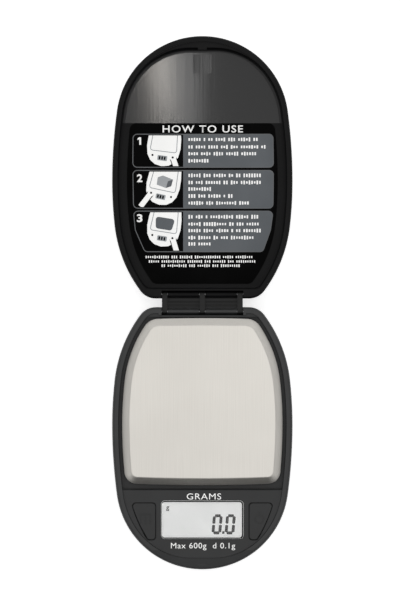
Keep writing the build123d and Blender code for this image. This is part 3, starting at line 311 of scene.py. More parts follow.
# %% Metals
def brushed(name, dark, light, spacing, length, roughness, relief, axis=1):
    """Metal brushed along one axis (0 is X, 1 is Y) with scratches this far apart."""
    material, tree, shader, where = new_material(name, Metallic=1.0)
    stretch = [cells(spacing)] * 3
    stretch[axis] = cells(length)
    along = add_node(tree, "ShaderNodeMapping", {"Vector": where, "Scale": stretch})
    scratches = add_node(
        tree, "ShaderNodeTexNoise", {"Vector": along.outputs[0], "Scale": 1.0, "Detail": 4.0}
    )
    cloud = add_node(tree, "ShaderNodeTexNoise", {"Vector": where, "Scale": cells(30), "Detail": 2.0})
    both = add_node(
        tree, "ShaderNodeMix", {0: 0.35, 2: scratches.outputs["Fac"], 3: cloud.outputs["Fac"]}
    )
    gloss = add_node(
        tree, "ShaderNodeMapRange",
        {"Value": scratches.outputs["Fac"], "To Min": roughness - 0.06, "To Max": roughness + 0.06},
    )
    bump = add_node(
        tree, "ShaderNodeBump",
        {"Height": scratches.outputs["Fac"], "Strength": relief, "Distance": 0.02 * mm},
    )
    tree.links.new(blend_colours(tree, both.outputs[0], dark, light), shader.inputs["Base Color"])
    tree.links.new(gloss.outputs["Result"], shader.inputs["Roughness"])
    tree.links.new(bump.outputs["Normal"], shader.inputs["Normal"])
    return material


finishes["tray_steel"] = brushed("brushed_stainless_tray", "#CAC7C1", "#D4D1CB", 0.3, 30, 0.4, 0.12)
finishes["cell_aluminium"] = brushed("sawn_aluminium_cell", "#B9BBBD", "#CFD1D3", 0.4, 12, 0.4, 0.3, 0)
finishes["pin_steel"] = brushed("drawn_steel_pins", "#8E8E8F", "#A5A5A6", 0.1, 8, 0.3, 0.1, 0)
finishes["screw_steel"] = brushed("nickel_plated_screws", "#8F8C86", "#A8A59F", 0.2, 0.4, 0.35, 0.2)
finishes["contact_nickel"] = brushed("nickel_plated_contacts", "#B8B5AE", "#CBC8C1", 0.15, 6, 0.28, 0.1)
print("metals ready")

# %% [markdown]
# ## Display, label, board and cells
# The window is clear acrylic. Behind it the liquid crystal glass has a grey reflecting film with a
# faint sparkle; a little glow stands in for the light that such a film sends back. The guide is
# satin black vinyl. The board is green solder mask over copper tracks, and the cells wear a plain
# two-coloured sleeve.

# %% Display, label, board and cells
def window_acrylic():
    material, tree, shader, where = new_material(
        "clear_acrylic_window", **{"Transmission Weight": 1.0, "IOR": 1.49}
    )
    haze = add_node(tree, "ShaderNodeTexNoise", {"Vector": where, "Scale": cells(6), "Detail": 2.0})
    gloss = add_node(
        tree, "ShaderNodeMapRange", {"Value": haze.outputs["Fac"], "To Min": 0.0, "To Max": 0.03}
    )
    tint = blend_colours(tree, haze.outputs["Fac"], "#FBFBFB", "#FFFFFF")
    tree.links.new(tint, shader.inputs["Base Color"])
    tree.links.new(gloss.outputs["Result"], shader.inputs["Roughness"])
    return material


def solder_mask():
    material, tree, shader, where = new_material("green_solder_mask_board", IOR=1.5)
    tracks = add_node(
        tree, "ShaderNodeTexBrick",
        {"Vector": where, "Scale": cells(4), "Mortar Size": 0.05, "Color1": colour("#1C5A2E"),
         "Color2": colour("#20652F"), "Mortar": colour("#2F7E3C")},
    )
    raised = add_node(
        tree, "ShaderNodeBump", {"Height": tracks.outputs["Fac"], "Strength": 0.3, "Distance": 0.03 * mm}
    )
    dust = add_node(tree, "ShaderNodeTexNoise", {"Vector": where, "Scale": cells(2), "Detail": 2.0})
    gloss = add_node(
        tree, "ShaderNodeMapRange", {"Value": dust.outputs["Fac"], "To Min": 0.25, "To Max": 0.4}
    )
    tree.links.new(tracks.outputs["Color"], shader.inputs["Base Color"])
    tree.links.new(gloss.outputs["Result"], shader.inputs["Roughness"])
    tree.links.new(raised.outputs["Normal"], shader.inputs["Normal"])
    return material


def cell_sleeve():
    material, tree, shader, where = new_material("two_tone_cell_sleeve", IOR=1.5)
    place = add_node(tree, "ShaderNodeSeparateXYZ", {"Vector": where})
    band = add_node(
        tree, "ShaderNodeMapRange", {"Value": place.outputs["X"], "From Min": -25 * mm, "From Max": 25 * mm}
    )
    ramp = add_node(tree, "ShaderNodeValToRGB", {"Fac": band.outputs["Result"]})
    ramp.color_ramp.interpolation = "CONSTANT"
    ramp.color_ramp.elements[0].color = colour("#5E7286")
    ramp.color_ramp.elements[1].position = 0.72
    ramp.color_ramp.elements[1].color = colour("#C9CDD1")
    shrink = add_node(tree, "ShaderNodeTexNoise", {"Vector": where, "Scale": cells(3), "Detail": 2.0})
    gloss = add_node(
        tree, "ShaderNodeMapRange", {"Value": shrink.outputs["Fac"], "To Min": 0.2, "To Max": 0.35}
    )
    tree.links.new(ramp.outputs["Color"], shader.inputs["Base Color"])
    tree.links.new(gloss.outputs["Result"], shader.inputs["Roughness"])
    return material


finishes["window_acrylic"] = window_acrylic()
finishes["lcd_glass"] = moulded(
    "grey_lcd_film", "#D3D4D3", "#DADBDA", grain=0.2, roughness=0.35, relief=0.05,
    **{"Emission Color": colour("#E0E1E0"), "Emission Strength": 0.48},
)
finishes["label_vinyl"] = moulded(
    "black_vinyl_label", "#050505", "#080808", grain=0.6, roughness=0.6, **{"Specular IOR Level": 0.03}
)
finishes["board_laminate"] = solder_mask()
finishes["battery_wrap"] = cell_sleeve()

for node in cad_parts.values():
    for material_slot in node.material_slots:
        material_slot.material = finishes[material_slot.material.name.split(".")[0]]
print(len(finishes), "finishes on", len(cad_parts), "nodes")

# %% [markdown]
# ## Ink on the parts
# Everything printed is a very thin sheet of ink that lies on its part. On the lid the ink follows
# the label, which bends with the lid's crowned floor. Each drawing is cut into narrow slices first,
# because a wide flat face would cut through the bend, and a Solidify modifier then gives it the
# thickness of ink.

# %% Helpers for ink
bend_radius = 298.13  # of the label's surface, across the lid
bend_height = 310.0  # of the axis that it bends about
ink_thickness = 0.03


def label_surface(x):
    """Height of the label at x, in millimetres."""
    return bend_height - math.sqrt(bend_radius**2 - x**2)


def flat_surface(height):
    """A surface that is level at this height, in millimetres."""
    return lambda x: height


def finish_piece(name, mesh, material, body):
    """Puts a finished mesh in the scene, with its material, on a body of the model."""
    piece = bpy.data.objects.new(name, mesh)
    scene.collection.objects.link(piece)
    mesh.materials.clear()
    mesh.materials.append(material)
    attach(piece, body)
    return piece


def print_ink(name, bm, material, body, surface, lift):
    """Lays a flat drawing, in millimetres, on a surface as a thin sheet of ink."""
    for step in range(-33, 34, 2):
        everything = bm.verts[:] + bm.edges[:] + bm.faces[:]
        bmesh.ops.bisect_plane(bm, geom=everything, plane_co=(step, 0, 0), plane_no=(1, 0, 0))
    bmesh.ops.triangulate(bm, faces=bm.faces)
    bm.normal_update()
    bmesh.ops.reverse_faces(bm, faces=[f for f in bm.faces if f.normal.z < 0])
    for vert in bm.verts:
        vert.co = Vector((vert.co.x, vert.co.y, surface(vert.co.x) + lift)) * mm
    mesh = bpy.data.meshes.new(name)
    bm.to_mesh(mesh)
    bm.free()
    piece = finish_piece(name, mesh, material, body)
    solid = piece.modifiers.new("ink_thickness", "SOLIDIFY")
    solid.thickness = ink_thickness * mm
    solid.offset = -1.0
    return piece


def drawing(polygons):
    """A flat drawing made of filled polygons."""
    bm = bmesh.new()
    for polygon in polygons:
        bm.faces.new([bm.verts.new((x, y, 0)) for x, y in polygon])
    return bm


def lettering(words, centre, width, height, spacing=1.0, weight=0.02):
    """A flat drawing of words, thickened by a weight and scaled to a width and height about a centre."""
    curve = bpy.data.curves.new("letters", "FONT")
    curve.body = words
    curve.offset = weight
    curve.space_character = spacing
    curve.resolution_u = 4
    holder = bpy.data.objects.new("letters", curve)
    mesh = bpy.data.meshes.new_from_object(holder)
    bpy.data.objects.remove(holder)
    low = [min(v.co[i] for v in mesh.vertices) for i in (0, 1)]
    high = [max(v.co[i] for v in mesh.vertices) for i in (0, 1)]
    bm = bmesh.new()
    bm.from_mesh(mesh)
    for vert in bm.verts:
        vert.co.x = centre[0] + ((vert.co.x - low[0]) / (high[0] - low[0]) - 0.5) * width
        vert.co.y = centre[1] + ((vert.co.y - low[1]) / (high[1] - low[1]) - 0.5) * height
    return bm


inks = {
    # painted light: the white ink glows faintly, so it shows brighter than the lamps alone light it
    "white": moulded("white_screen_ink_painted_glow", "#F6F6F4", "#FCFCFA", roughness=0.6, relief=0.05,
                     **{"Emission Color": colour("#FFFFFF"), "Emission Strength": 0.2}),
    "grey": moulded("grey_screen_ink", "#64686C", "#6A6E72", roughness=0.6, relief=0.05,
                    **{"Specular IOR Level": 0.15}),
    "pale": moulded("pale_grey_screen_ink", "#A9ADB0", "#B2B6B9", roughness=0.6, relief=0.05),
    "line": moulded("line_grey_screen_ink", "#6A6C6E", "#747678", roughness=0.6, relief=0.05,
                    **{"Specular IOR Level": 0.15}),
    "black": moulded("black_screen_ink", "#050505", "#080808", roughness=0.6,
                     **{"Specular IOR Level": 0.03}),
}
print("label height", [round(label_surface(x), 2) for x in (0, 32)], "mm, in the middle and at its edge")

# %% [markdown]
# ## The guide in the lid
# The label explains the scale in three framed steps, each with a small picture on black at the left
# and a few lines of words on grey at the right. The frames are rounded outlines; the lowest narrows
# with the lid. One helper rounds any polygon, and the same helper with an inset gives the inner
# edge of each frame line, so that outer and inner points pair up into a ring.

# %% Frames of the three steps
def rounded(corners, radius, inset=0.0, steps=5):
    """A polygon with rounded corners, shrunk by an inset."""
    points = []
    for i, corner in enumerate(corners):
        corner = Vector(corner)
        back = (Vector(corners[i - 1]) - corner).normalized()
        ahead = (Vector(corners[(i + 1) % len(corners)]) - corner).normalized()
        half = back.angle(ahead) / 2
        inward = (back + ahead).normalized()
        corner = corner + inward * inset / math.sin(half)
        turn_radius = max(radius - inset, 0.05)
        centre = corner + inward * turn_radius / math.sin(half)
        start = corner + back * turn_radius / math.tan(half) - centre
        end = corner + ahead * turn_radius / math.tan(half) - centre
        sweep = start.angle_signed(end)
        for step in range(steps + 1):
            points.append(tuple(centre + Matrix.Rotation(-sweep * step / steps, 2) @ start))
    return points


def ring(outer, inner):
    """The band between two outlines that have the same number of points, as quads."""
    pairs = list(zip(outer, inner))
    return [[a[0], b[0], b[1], a[1]] for a, b in zip(pairs, pairs[1:] + pairs[:1])]


def cut(polygon, axis, limit, side):
    """The part of a polygon above (side 1) or below (side -1) a limit along an axis."""
    kept = []
    for a, b in zip(polygon, polygon[1:] + polygon[:1]):
        inside = [side * (p[axis] - limit) >= 0 for p in (a, b)]
        if inside[0]:
            kept.append(a)
        if inside[0] != inside[1]:
            part = (limit - a[axis]) / (b[axis] - a[axis])
            kept.append((a[0] + part * (b[0] - a[0]), a[1] + part * (b[1] - a[1])))
    return kept


step_frames = [
    [(-29.8, 72.3), (30.4, 72.3), (30.6, 57.8), (-29.9, 57.8)],
    [(-29.9, 56.8), (30.6, 56.8), (30.4, 40.3), (-29.6, 40.3)],
    [(-29.7, 39.4), (30.5, 39.4), (29.3, 31.0), (26.0, 21.7), (-24.7, 21.7), (-28.8, 31.0)],
]
frame_line = 0.35
picture_edge = -8.2  # where the picture ends and the words begin

frames_ink, words_field = [], []
for corners in step_frames:
    outline = rounded(corners, 2.0)
    frames_ink += ring(outline, rounded(corners, 2.0, frame_line))
    words_field.append(cut(rounded(corners, 2.0, frame_line / 2), 0, picture_edge, 1))
print_ink("guide_frames", drawing(frames_ink), inks["line"], "lid", label_surface, 0.05)
print_ink("guide_fields", drawing(words_field), inks["grey"], "lid", label_surface, 0.04)
print(len(words_field), "steps framed")

# %% [markdown]
# ## Pictures
# Each picture shows the scale from above, with a finger on a key, a box on the tray, or a bowl on
# it. They are simple shapes laid over one another: white body, grey tray line, display and load,
# a black shadow line round the finger, and the white finger on top.

# %% Pictures in the steps
def turned(polygon, centre, degrees):
    """A polygon turned about the origin and moved to a centre."""
    c, s = math.cos(math.radians(degrees)), math.sin(math.radians(degrees))
    return [(centre[0] + x * c - y * s, centre[1] + x * s + y * c) for x, y in polygon]


def disc(centre, radius, steps=14):
    """A filled circle as a polygon."""
    turns = [math.tau * i / steps for i in range(steps)]
    return [(centre[0] + radius * math.cos(t), centre[1] + radius * math.sin(t)) for t in turns]


def bar(start, end, width):
    """A straight bar with a rounded far end."""
    start, end = Vector(start), Vector(end)
    side = (end - start).normalized().orthogonal() * width / 2
    tip = [Matrix.Rotation(-math.pi * i / 8, 2) @ side + start for i in range(9)]
    return [tuple(p) for p in [end + side, *tip, end - side]]


scale_body = [
    (-6.3, 9.0), (-7.0, 5.0), (-7.2, 1.0), (-6.6, -2.6), (-5.2, -5.0), (-3.0, -6.6), (0.0, -7.2),
    (3.0, -6.6), (5.2, -5.0), (6.6, -2.6), (7.2, 1.0), (7.0, 5.0), (6.3, 9.0),
]
tray_corners = [(-5.2, 9.0), (5.2, 9.0), (5.9, -1.0), (-5.9, -1.0)]
box_front = [(-3.0, 4.2), (1.6, 3.4), (1.4, 0.4), (-2.8, 1.0)]
box_side = [(1.6, 3.4), (3.6, 4.6), (3.4, 1.6), (1.4, 0.4)]
box_top = [(-3.0, 4.2), (-1.0, 5.4), (3.6, 4.6), (1.6, 3.4)]
bowl_corners = [(-4.2, 5.2), (4.2, 5.2), (3.4, 0.2), (-3.4, 0.2)]

layers = {"white": [], "pale": [], "black": [], "finger": [], "grey": []}
pictures = [
    ((-16.6, 65.6), -7, "none", 1),
    ((-17.0, 49.0), -12, "box", -1),
    ((-16.6, 31.2), -9, "bowl", 1),
]
for (centre, lean, load, side), corners in zip(pictures, step_frames):
    top, bottom = corners[0][1] - 0.7, min(y for _, y in corners) + 0.7

    def place(polygon):
        """The polygon in its place on the label, cut off by the picture's edges."""
        put = turned(polygon, centre, lean)
        for axis, limit, keep in ((1, top, -1), (1, bottom, 1), (0, picture_edge - 0.4, -1)):
            put = cut(put, axis, limit, keep)
        return put

    layers["white"].append(place(scale_body))
    tray = ring(rounded(tray_corners, 1.2), rounded(tray_corners, 1.2, 0.35))
    layers["pale"] += [q for q in map(place, tray) if len(q) > 2]
    layers["pale"].append(place(rounded([(-2.2, -2.6), (2.0, -2.6), (2.0, -4.8), (-2.2, -4.8)], 0.4)))
    layers["black"] += [place(disc((-4.4, -2.9), 0.45)), place(disc((4.3, -2.9), 0.45))]
    for x in (-1.6, -0.5, 0.6):
        layers["black"].append(place([(x, -3.0), (x + 0.7, -3.0), (x + 0.7, -4.4), (x, -4.4)]))
    if load == "box":
        layers["pale"] += [place(box_front), place(box_top)]
        layers["grey"].append(place(box_side))
    if load == "bowl":
        layers["grey"].append(place(rounded(bowl_corners, 1.2)))
        layers["pale"].append(place(rounded(bowl_corners, 1.2, 0.6)))
    knuckle = (side * 7.6, -9.6)
    layers["black"].append(place(bar((side * 4.4, -2.9), knuckle, 2.9)))
    layers["finger"].append(place(bar((side * 4.5, -3.1), knuckle, 2.2)))
lifts = {"white": 0.04, "pale": 0.07, "grey": 0.10, "black": 0.11, "finger": 0.15}
for layer, polygons in layers.items():
    shade = inks["white" if layer == "finger" else layer]
    polygons = [p for p in polygons if len(p) > 2]
    print_ink(f"guide_picture_{layer}", drawing(polygons), shade, "lid", label_surface, lifts[layer])
print({layer: len(polygons) for layer, polygons in layers.items()})

# %% [markdown]
# ## Headings
# A heading over the steps, and their numbers, are text turned into meshes. The heading is plain
# generic wording, spread out to the width of the frames below it.

# %% Headings
title_lift, number_lift = 0.05, 0.15  # of the ink's face over the label
title = lettering("HOW TO USE", (0.2, 74.4), 34.4, 3.1, 1.15, 0.012)
print_ink("guide_title", title, inks["white"], "lid", label_surface, title_lift)
for number, middle in (("2", 53.3), ("3", 36.2)):
    drawn = lettering(number, (-26.8, middle), 2.4, 3.4, weight=0.03)
    print_ink(f"guide_number_{number}", drawn, inks["white"], "lid", label_surface, number_lift)
one = [(0.5, 1.6), (-0.3, 1.6), (-1.0, 1.1), (-1.0, 0.4), (-0.25, 0.8), (-0.25, -1.6), (0.5, -1.6)]
number_one = drawing([turned(one, (-26.7, 69.2), 0)])
print_ink("guide_number_1", number_one, inks["white"], "lid", label_surface, number_lift)
print("headings set")

# %% [markdown]
# ## Lines of small words
# The small print is only suggested: each word is a row of upright strokes as long as the word, so
# there is nothing to read. Geometry Nodes suit this, because it repeats hundreds of times and
# follows the label's bend. The seed mesh has one point for each word with its number of strokes.
# The tree repeats the point along the line, lifts it on to the bend, stands a stroke there that is
# tilted with the surface, and varies the heights with a fixed seed.

# %% Geometry Nodes: greeked words
def new_tree(name, **inputs):
    """A geometry tree with named inputs; returns it with its input and output nodes."""
    tree = bpy.data.node_groups.new(name, "GeometryNodeTree")
    tree.interface.new_socket("Geometry", in_out="INPUT", socket_type="NodeSocketGeometry")
    for label, kind in inputs.items():
        tree.interface.new_socket(label, in_out="INPUT", socket_type=f"NodeSocket{kind}")
    tree.interface.new_socket("Geometry", in_out="OUTPUT", socket_type="NodeSocketGeometry")
    return tree, add_node(tree, "NodeGroupInput"), add_node(tree, "NodeGroupOutput")


def grow(name, seeds, tree, body, slot=None, **values):
    """Runs a tree on seed points and keeps what it makes as a plain mesh piece."""
    host = bpy.data.objects.new(name, seeds)
    scene.collection.objects.link(host)
    modifier = host.modifiers.new("grow", "NODES")
    modifier.node_group = tree
    for socket in tree.interface.items_tree:
        if socket.in_out == "INPUT" and socket.name in values:
            modifier[socket.identifier] = values[socket.name]
    evaluated = host.evaluated_get(bpy.context.evaluated_depsgraph_get())
    mesh = bpy.data.meshes.new_from_object(evaluated)
    bpy.data.objects.remove(host)
    return finish_piece(name, mesh, values["Material"], body)


def words_tree():
    tree, given, result = new_tree(
        "greeked_words", Pitch="Float", Stroke="Float", Height="Float", Ink="Float",
        Bend="Float", Axis="Float", Seed="Int", Material="Material",
    )
    given = given.outputs
    strokes = add_node(tree, "GeometryNodeInputNamedAttribute", {"Name": "strokes"}, data_type="INT")
    repeat = add_node(
        tree, "GeometryNodeDuplicateElements",
        {"Geometry": given["Geometry"], "Amount": strokes.outputs["Attribute"]}, domain="POINT",
    )
    along = add_node(
        tree, "ShaderNodeMath", {0: repeat.outputs["Duplicate Index"], 1: given["Pitch"]},
        operation="MULTIPLY",
    )
    shift = add_node(tree, "ShaderNodeCombineXYZ", {"X": along.outputs[0]})
    spread = add_node(
        tree, "GeometryNodeSetPosition", {"Geometry": repeat.outputs["Geometry"], "Offset": shift.outputs[0]}
    )
    position = add_node(tree, "GeometryNodeInputPosition").outputs[0]
    place = add_node(tree, "ShaderNodeSeparateXYZ", {"Vector": position})
    slope = add_node(tree, "ShaderNodeMath", {0: place.outputs["X"], 1: given["Bend"]}, operation="DIVIDE")
    angle = add_node(tree, "ShaderNodeMath", {0: slope.outputs[0]}, operation="ARCSINE")
    fall = add_node(tree, "ShaderNodeMath", {0: angle.outputs[0]}, operation="COSINE")
    drop = add_node(tree, "ShaderNodeMath", {0: fall.outputs[0], 1: given["Bend"]}, operation="MULTIPLY")
    height = add_node(tree, "ShaderNodeMath", {0: given["Axis"], 1: drop.outputs[0]}, operation="SUBTRACT")
    lift = add_node(tree, "ShaderNodeCombineXYZ", {"Z": height.outputs[0]})
    bent = add_node(
        tree, "GeometryNodeSetPosition", {"Geometry": spread.outputs["Geometry"], "Offset": lift.outputs[0]}
    )
    box = add_node(
        tree, "ShaderNodeCombineXYZ", {"X": given["Stroke"], "Y": given["Height"], "Z": given["Ink"]}
    )
    stroke = add_node(tree, "GeometryNodeMeshCube", {"Size": box.outputs[0]})
    lean = add_node(tree, "ShaderNodeMath", {0: angle.outputs[0], 1: -1.0}, operation="MULTIPLY")
    tilt = add_node(tree, "ShaderNodeCombineXYZ", {"Y": lean.outputs[0]})
    vary = add_node(
        tree, "FunctionNodeRandomValue",
        {"Min": (0.8, 0.62, 1.0), "Max": (1.0, 1.15, 1.0), "Seed": given["Seed"]}, data_type="FLOAT_VECTOR",
    )
    stand = add_node(
        tree, "GeometryNodeInstanceOnPoints",
        {"Points": bent.outputs["Geometry"], "Instance": stroke.outputs["Mesh"],
         "Rotation": tilt.outputs[0], "Scale": vary.outputs["Value"]},
    )
    real = add_node(tree, "GeometryNodeRealizeInstances", {"Geometry": stand.outputs["Instances"]})
    inked = add_node(
        tree, "GeometryNodeSetMaterial", {"Geometry": real.outputs["Geometry"], "Material": given["Material"]}
    )
    tree.links.new(inked.outputs["Geometry"], result.inputs["Geometry"])
    return tree


def word_seeds(name, lines, pitch):
    """One point for each word: each line is (x, y, word lengths in strokes), with a blank between words."""
    places, lengths = [], []
    for x, y, words in lines:
        for length in words:
            places.append((x * mm, y * mm, 0))
            lengths.append(length)
            x += (length + 0.8) * pitch
    mesh = bpy.data.meshes.new(name)
    mesh.from_pydata(places, [], [])
    mesh.attributes.new("strokes", "INT", "POINT").data.foreach_set("value", lengths)
    return mesh


line_pitch = 1.12
step_lines = [
    (-5.6, 69.9, (5, 1, 2, 4, 3, 5, 2)), (-5.6, 66.7, (2, 4, 4, 3, 3, 7, 2)), (-5.6, 63.8, (4, 4, 4, 5, 6)),
    (-5.6, 60.8, (8,)),
    (-5.6, 54.5, (5, 3, 5, 2, 2, 7)), (-5.6, 51.5, (2, 3, 6, 2, 3, 8)), (-5.6, 48.7, (9,)),
    (-5.6, 45.7, (3, 3, 5, 1, 2)), (-5.6, 42.7, (6, 3, 8, 4)),
    (-5.6, 36.8, (2, 3, 1, 9, 5, 3)), (-5.6, 33.7, (5, 9, 2, 3, 5)), (-5.6, 30.9, (5, 4, 5, 1, 2, 7)),
    (-5.6, 27.9, (3, 5, 2, 3, 9)), (-5.6, 25.2, (3, 5)),
]
note_pitch = 0.94
note_lines = [
    (-24.0, 19.6, (11, 3, 6, 12, 5, 8)), (-22.6, 17.7, (5, 11, 7, 3, 6, 3, 9)),
    (-17.2, 15.9, (2, 9, 3, 6, 3, 9)),
]
greeked = words_tree()
words_lift = 0.06  # of the strokes' middle over the label
common = {
    "Bend": bend_radius * mm, "Axis": (bend_height + words_lift) * mm, "Ink": ink_thickness * mm,
    "Material": inks["white"],
}
body_words = grow(
    "guide_words", word_seeds("step_words", step_lines, line_pitch), greeked, "lid",
    Pitch=line_pitch * mm, Stroke=0.74 * mm, Height=1.5 * mm, Seed=3, **common,
)
note_words = grow(
    "guide_note", word_seeds("note_words", note_lines, note_pitch), greeked, "lid",
    Pitch=note_pitch * mm, Stroke=0.56 * mm, Height=1.1 * mm, Seed=5, **common,
)
print(len(body_words.data.polygons) // 6, "and", len(note_words.data.polygons) // 6, "strokes")

# %% [markdown]
# ## The display
# A liquid crystal digit is up to seven bars with pointed ends. One bar is modelled, and a tree
# stands it on a point for each bar, turned and stretched by the point's own values. The figures
# lean a little, as they do on most displays. A small unit sign is set at the upper left.

# %% Geometry Nodes: display bars
def bars_tree():
    tree, given, result = new_tree("display_bars", Bar="Object", Material="Material")
    turn = add_node(tree, "GeometryNodeInputNamedAttribute", {"Name": "turn"}, data_type="FLOAT")
    size = add_node(tree, "GeometryNodeInputNamedAttribute", {"Name": "size"}, data_type="FLOAT_VECTOR")
    spin = add_node(tree, "ShaderNodeCombineXYZ", {"Z": turn.outputs["Attribute"]})
    model = add_node(tree, "GeometryNodeObjectInfo", {"Object": given.outputs["Bar"]})
    stand = add_node(
        tree, "GeometryNodeInstanceOnPoints",
        {"Points": given.outputs["Geometry"], "Instance": model.outputs["Geometry"],
         "Rotation": spin.outputs[0], "Scale": size.outputs["Attribute"]},
    )
    real = add_node(tree, "GeometryNodeRealizeInstances", {"Geometry": stand.outputs["Instances"]})
    inked = add_node(
        tree, "GeometryNodeSetMaterial",
        {"Geometry": real.outputs["Geometry"], "Material": given.outputs["Material"]},
    )
    tree.links.new(inked.outputs["Geometry"], result.inputs["Geometry"])
    return tree


def prism(name, outline, low, high, bevel=0.0):
    """A closed plate with this outline function of an inset, from low to high, its top edge bevelled."""
    levels = [(low, 0.0), (high - bevel, 0.0)] + ([(high, bevel)] if bevel else [])
    bm = bmesh.new()
    rings = [[bm.verts.new((x, y, z)) for x, y in outline(inset)] for z, inset in levels]
    for lower, upper in zip(rings, rings[1:]):
        for i in range(len(lower)):
            bm.faces.new([lower[i - 1], lower[i], upper[i], upper[i - 1]])
    bm.faces.new(rings[0])
    bm.faces.new(rings[-1])
    bmesh.ops.recalc_face_normals(bm, faces=bm.faces)
    mesh = bpy.data.meshes.new(name)
    bm.to_mesh(mesh)
    bm.free()
    return mesh


bar_outline = [(-0.5, 0), (-0.42, -0.5), (0.42, -0.5), (0.5, 0), (0.42, 0.5), (-0.42, 0.5)]
bar_mesh = prism("bar", lambda inset: bar_outline, -0.5, 0.5)
bar_model = bpy.data.objects.new("bar_model", bar_mesh)

digit_width, digit_height, digit_stroke = 2.9, 7.3, 1.25
lean = math.radians(5)
glass_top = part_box("lcd_panel")[1].z / mm
window_low, window_high = (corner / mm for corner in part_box("display_window"))
digit_y = (window_low.y + window_high.y) / 2 - 2.0


def digit_bars(middle, bars="abcdef"):
    """Centre, turn, length and stroke of each bar of a figure; a is the top and the rest go clockwise."""
    half, quarter = digit_width / 2, digit_height / 4
    spots = {
        "a": (0, 2 * quarter, 0), "b": (half, quarter, 1), "c": (half, -quarter, 1),
        "d": (0, -2 * quarter, 0), "e": (-half, -quarter, 1), "f": (-half, quarter, 1), "g": (0, 0, 0),
    }
    rows = []
    for bar_name in bars:
        x, y, upright = spots[bar_name]
        length = digit_height / 2 - 0.35 if upright else digit_width - 0.35
        turn = math.pi / 2 - lean if upright else 0.0
        rows.append((middle + x + y * math.tan(lean), digit_y + y, turn, length))
    return rows


bar_rows = digit_bars(6.3) + digit_bars(11.9)
seeds = bpy.data.meshes.new("bar_seeds")
seeds.from_pydata([(x * mm, y * mm, (glass_top + 0.02) * mm) for x, y, _, _ in bar_rows], [], [])
seeds.attributes.new("turn", "FLOAT", "POINT").data.foreach_set("value", [row[2] for row in bar_rows])
sizes = [v for row in bar_rows for v in (row[3] * mm, digit_stroke * mm, 0.02 * mm)]
seeds.attributes.new("size", "FLOAT_VECTOR", "POINT").data.foreach_set("vector", sizes)
figures = moulded(
    "lcd_black", "#030303", "#060606", roughness=0.5, relief=0.05, **{"Specular IOR Level": 0.02}
)
figures_lift = 0.035  # of the ink's face over the glass
shown = grow("display_figures", seeds, bars_tree(), "base", Bar=bar_model, Material=figures)
bpy.data.objects.remove(bar_model)

point_top, point_bottom = digit_y - 2.95, digit_y - 4.1
point = rounded([(8.5, point_top), (9.5, point_top), (9.4, point_bottom), (8.4, point_bottom)], 0.2)
print_ink("display_point", drawing([point]), figures, "base", flat_surface(glass_top), figures_lift)
unit = lettering("g", (-14.8, digit_y + 6.7), 1.3, 2.0)
print_ink("display_unit", unit, figures, "base", flat_surface(glass_top), figures_lift)
print(len(bar_rows), "bars in", len(shown.data.polygons), "faces")

# %% [markdown]
# ## The window
# The clear window is a moulded plate with a small polished bevel, and it stands for the imported plate
# so that the bevel can catch the light. A black line printed round its face, a little wider at
# the top and the right, hides the edge of the display behind it. The line is also painted shadow:
# it stands for the dark shade that lies along the window's edge.

# %% Window
window_corners = [
    (window_low.x, window_high.y), (window_high.x, window_high.y),
    (window_high.x, window_low.y), (window_low.x, window_low.y),
]
window_radius = 1.5
pane_bottom = window_low.z + 0.07
pane_gap, pane_bevel = 0.02, 0.06
pane = prism(
    "window_pane", lambda inset: rounded(window_corners, window_radius, inset + pane_gap), pane_bottom,
    window_high.z, pane_bevel,
)
pane.transform(Matrix.Scale(mm, 4))
window_piece = finish_piece("window_pane", pane, finishes["window_acrylic"], "base")
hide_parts("display_window")
# the black border is print and also painted shadow, a dark band for the shade along the window's edge
view_corners = [
    (x - 0.3 if x > 0 else x - 0.1, y - 0.25 if y > digit_y else y + 0.2) for x, y in window_corners
]
edge = ring(rounded(window_corners, window_radius, 0.08), rounded(view_corners, window_radius, 0.3))
print_ink("window_border", drawing(edge), inks["black"], "base", flat_surface(window_high.z), 0.035)
print("window pane", [round(v, 2) for v in window_high - window_low], "mm")

# %% [markdown]
# ## Printing on the panel
# The panel carries white printing above and below the window: a plain word, and the largest load
# with the smallest step, as weighing machines must show.

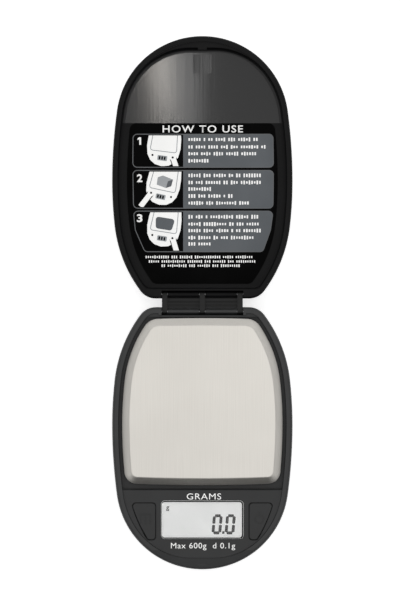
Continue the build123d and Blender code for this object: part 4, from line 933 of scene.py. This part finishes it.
# %% Printing on the panel
panel_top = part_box("upper_case")[1].z / mm
panel_lift = 0.04  # of the ink's face over the panel
for name, drawn in (
    ("panel_word", lettering("GRAMS", (0.7, -82.6), 14.7, 2.6, 1.1, 0.0)),
    ("panel_range", lettering("Max 600g  d 0.1g", (0.3, -103.95), 27.4, 3.15, 1.1, 0.0)),
):
    print_ink(name, drawn, inks["white"], "base", flat_surface(panel_top), panel_lift)
print("panel printed at", round(panel_top, 2), "mm")

# %% [markdown]
# ## Grip ribs on the battery door
# The door tips open under a fingertip, so it has a row of low half-round ribs on its middle. A tree
# repeats one rib along a line. They stay above the feet, so the scale still stands on its feet.

# %% Geometry Nodes: grip ribs
def ribs_tree():
    tree, given, result = new_tree(
        "grip_ribs", Count="Int", Pitch="Float", Length="Float", Radius="Float", Material="Material"
    )
    given = given.outputs
    step = add_node(tree, "ShaderNodeCombineXYZ", {"Y": given["Pitch"]})
    line = add_node(
        tree, "GeometryNodeMeshLine", {"Count": given["Count"], "Offset": step.outputs[0]}, mode="OFFSET"
    )
    origin = add_node(
        tree, "GeometryNodeInstanceOnPoints", {"Points": given["Geometry"], "Instance": line.outputs[0]}
    )
    places = add_node(tree, "GeometryNodeRealizeInstances", {"Geometry": origin.outputs[0]})
    rod = add_node(
        tree, "GeometryNodeMeshCylinder",
        {"Vertices": 16, "Radius": given["Radius"], "Depth": given["Length"]},
    )
    rib = add_node(
        tree, "GeometryNodeInstanceOnPoints",
        {"Points": places.outputs[0], "Instance": rod.outputs["Mesh"], "Rotation": (0, math.pi / 2, 0)},
    )
    real = add_node(tree, "GeometryNodeRealizeInstances", {"Geometry": rib.outputs[0]})
    done = add_node(
        tree, "GeometryNodeSetMaterial", {"Geometry": real.outputs[0], "Material": given["Material"]}
    )
    tree.links.new(done.outputs[0], result.inputs["Geometry"])
    return tree


door_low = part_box("battery_door")[0]
rib_seed = bpy.data.meshes.new("rib_seed")
rib_seed.from_pydata([(0, door_low.y + 5.0 * mm, door_low.z + 0.15 * mm)], [], [])
ribs = grow(
    "door_ribs", rib_seed, ribs_tree(), "battery_door", "door_abs",
    Count=5, Pitch=1.6 * mm, Length=14 * mm, Radius=0.45 * mm, Material=finishes["door_abs"],
)
print("ribs reach down to", round(min(v.co.z for v in ribs.data.vertices) / mm, 2), "mm")
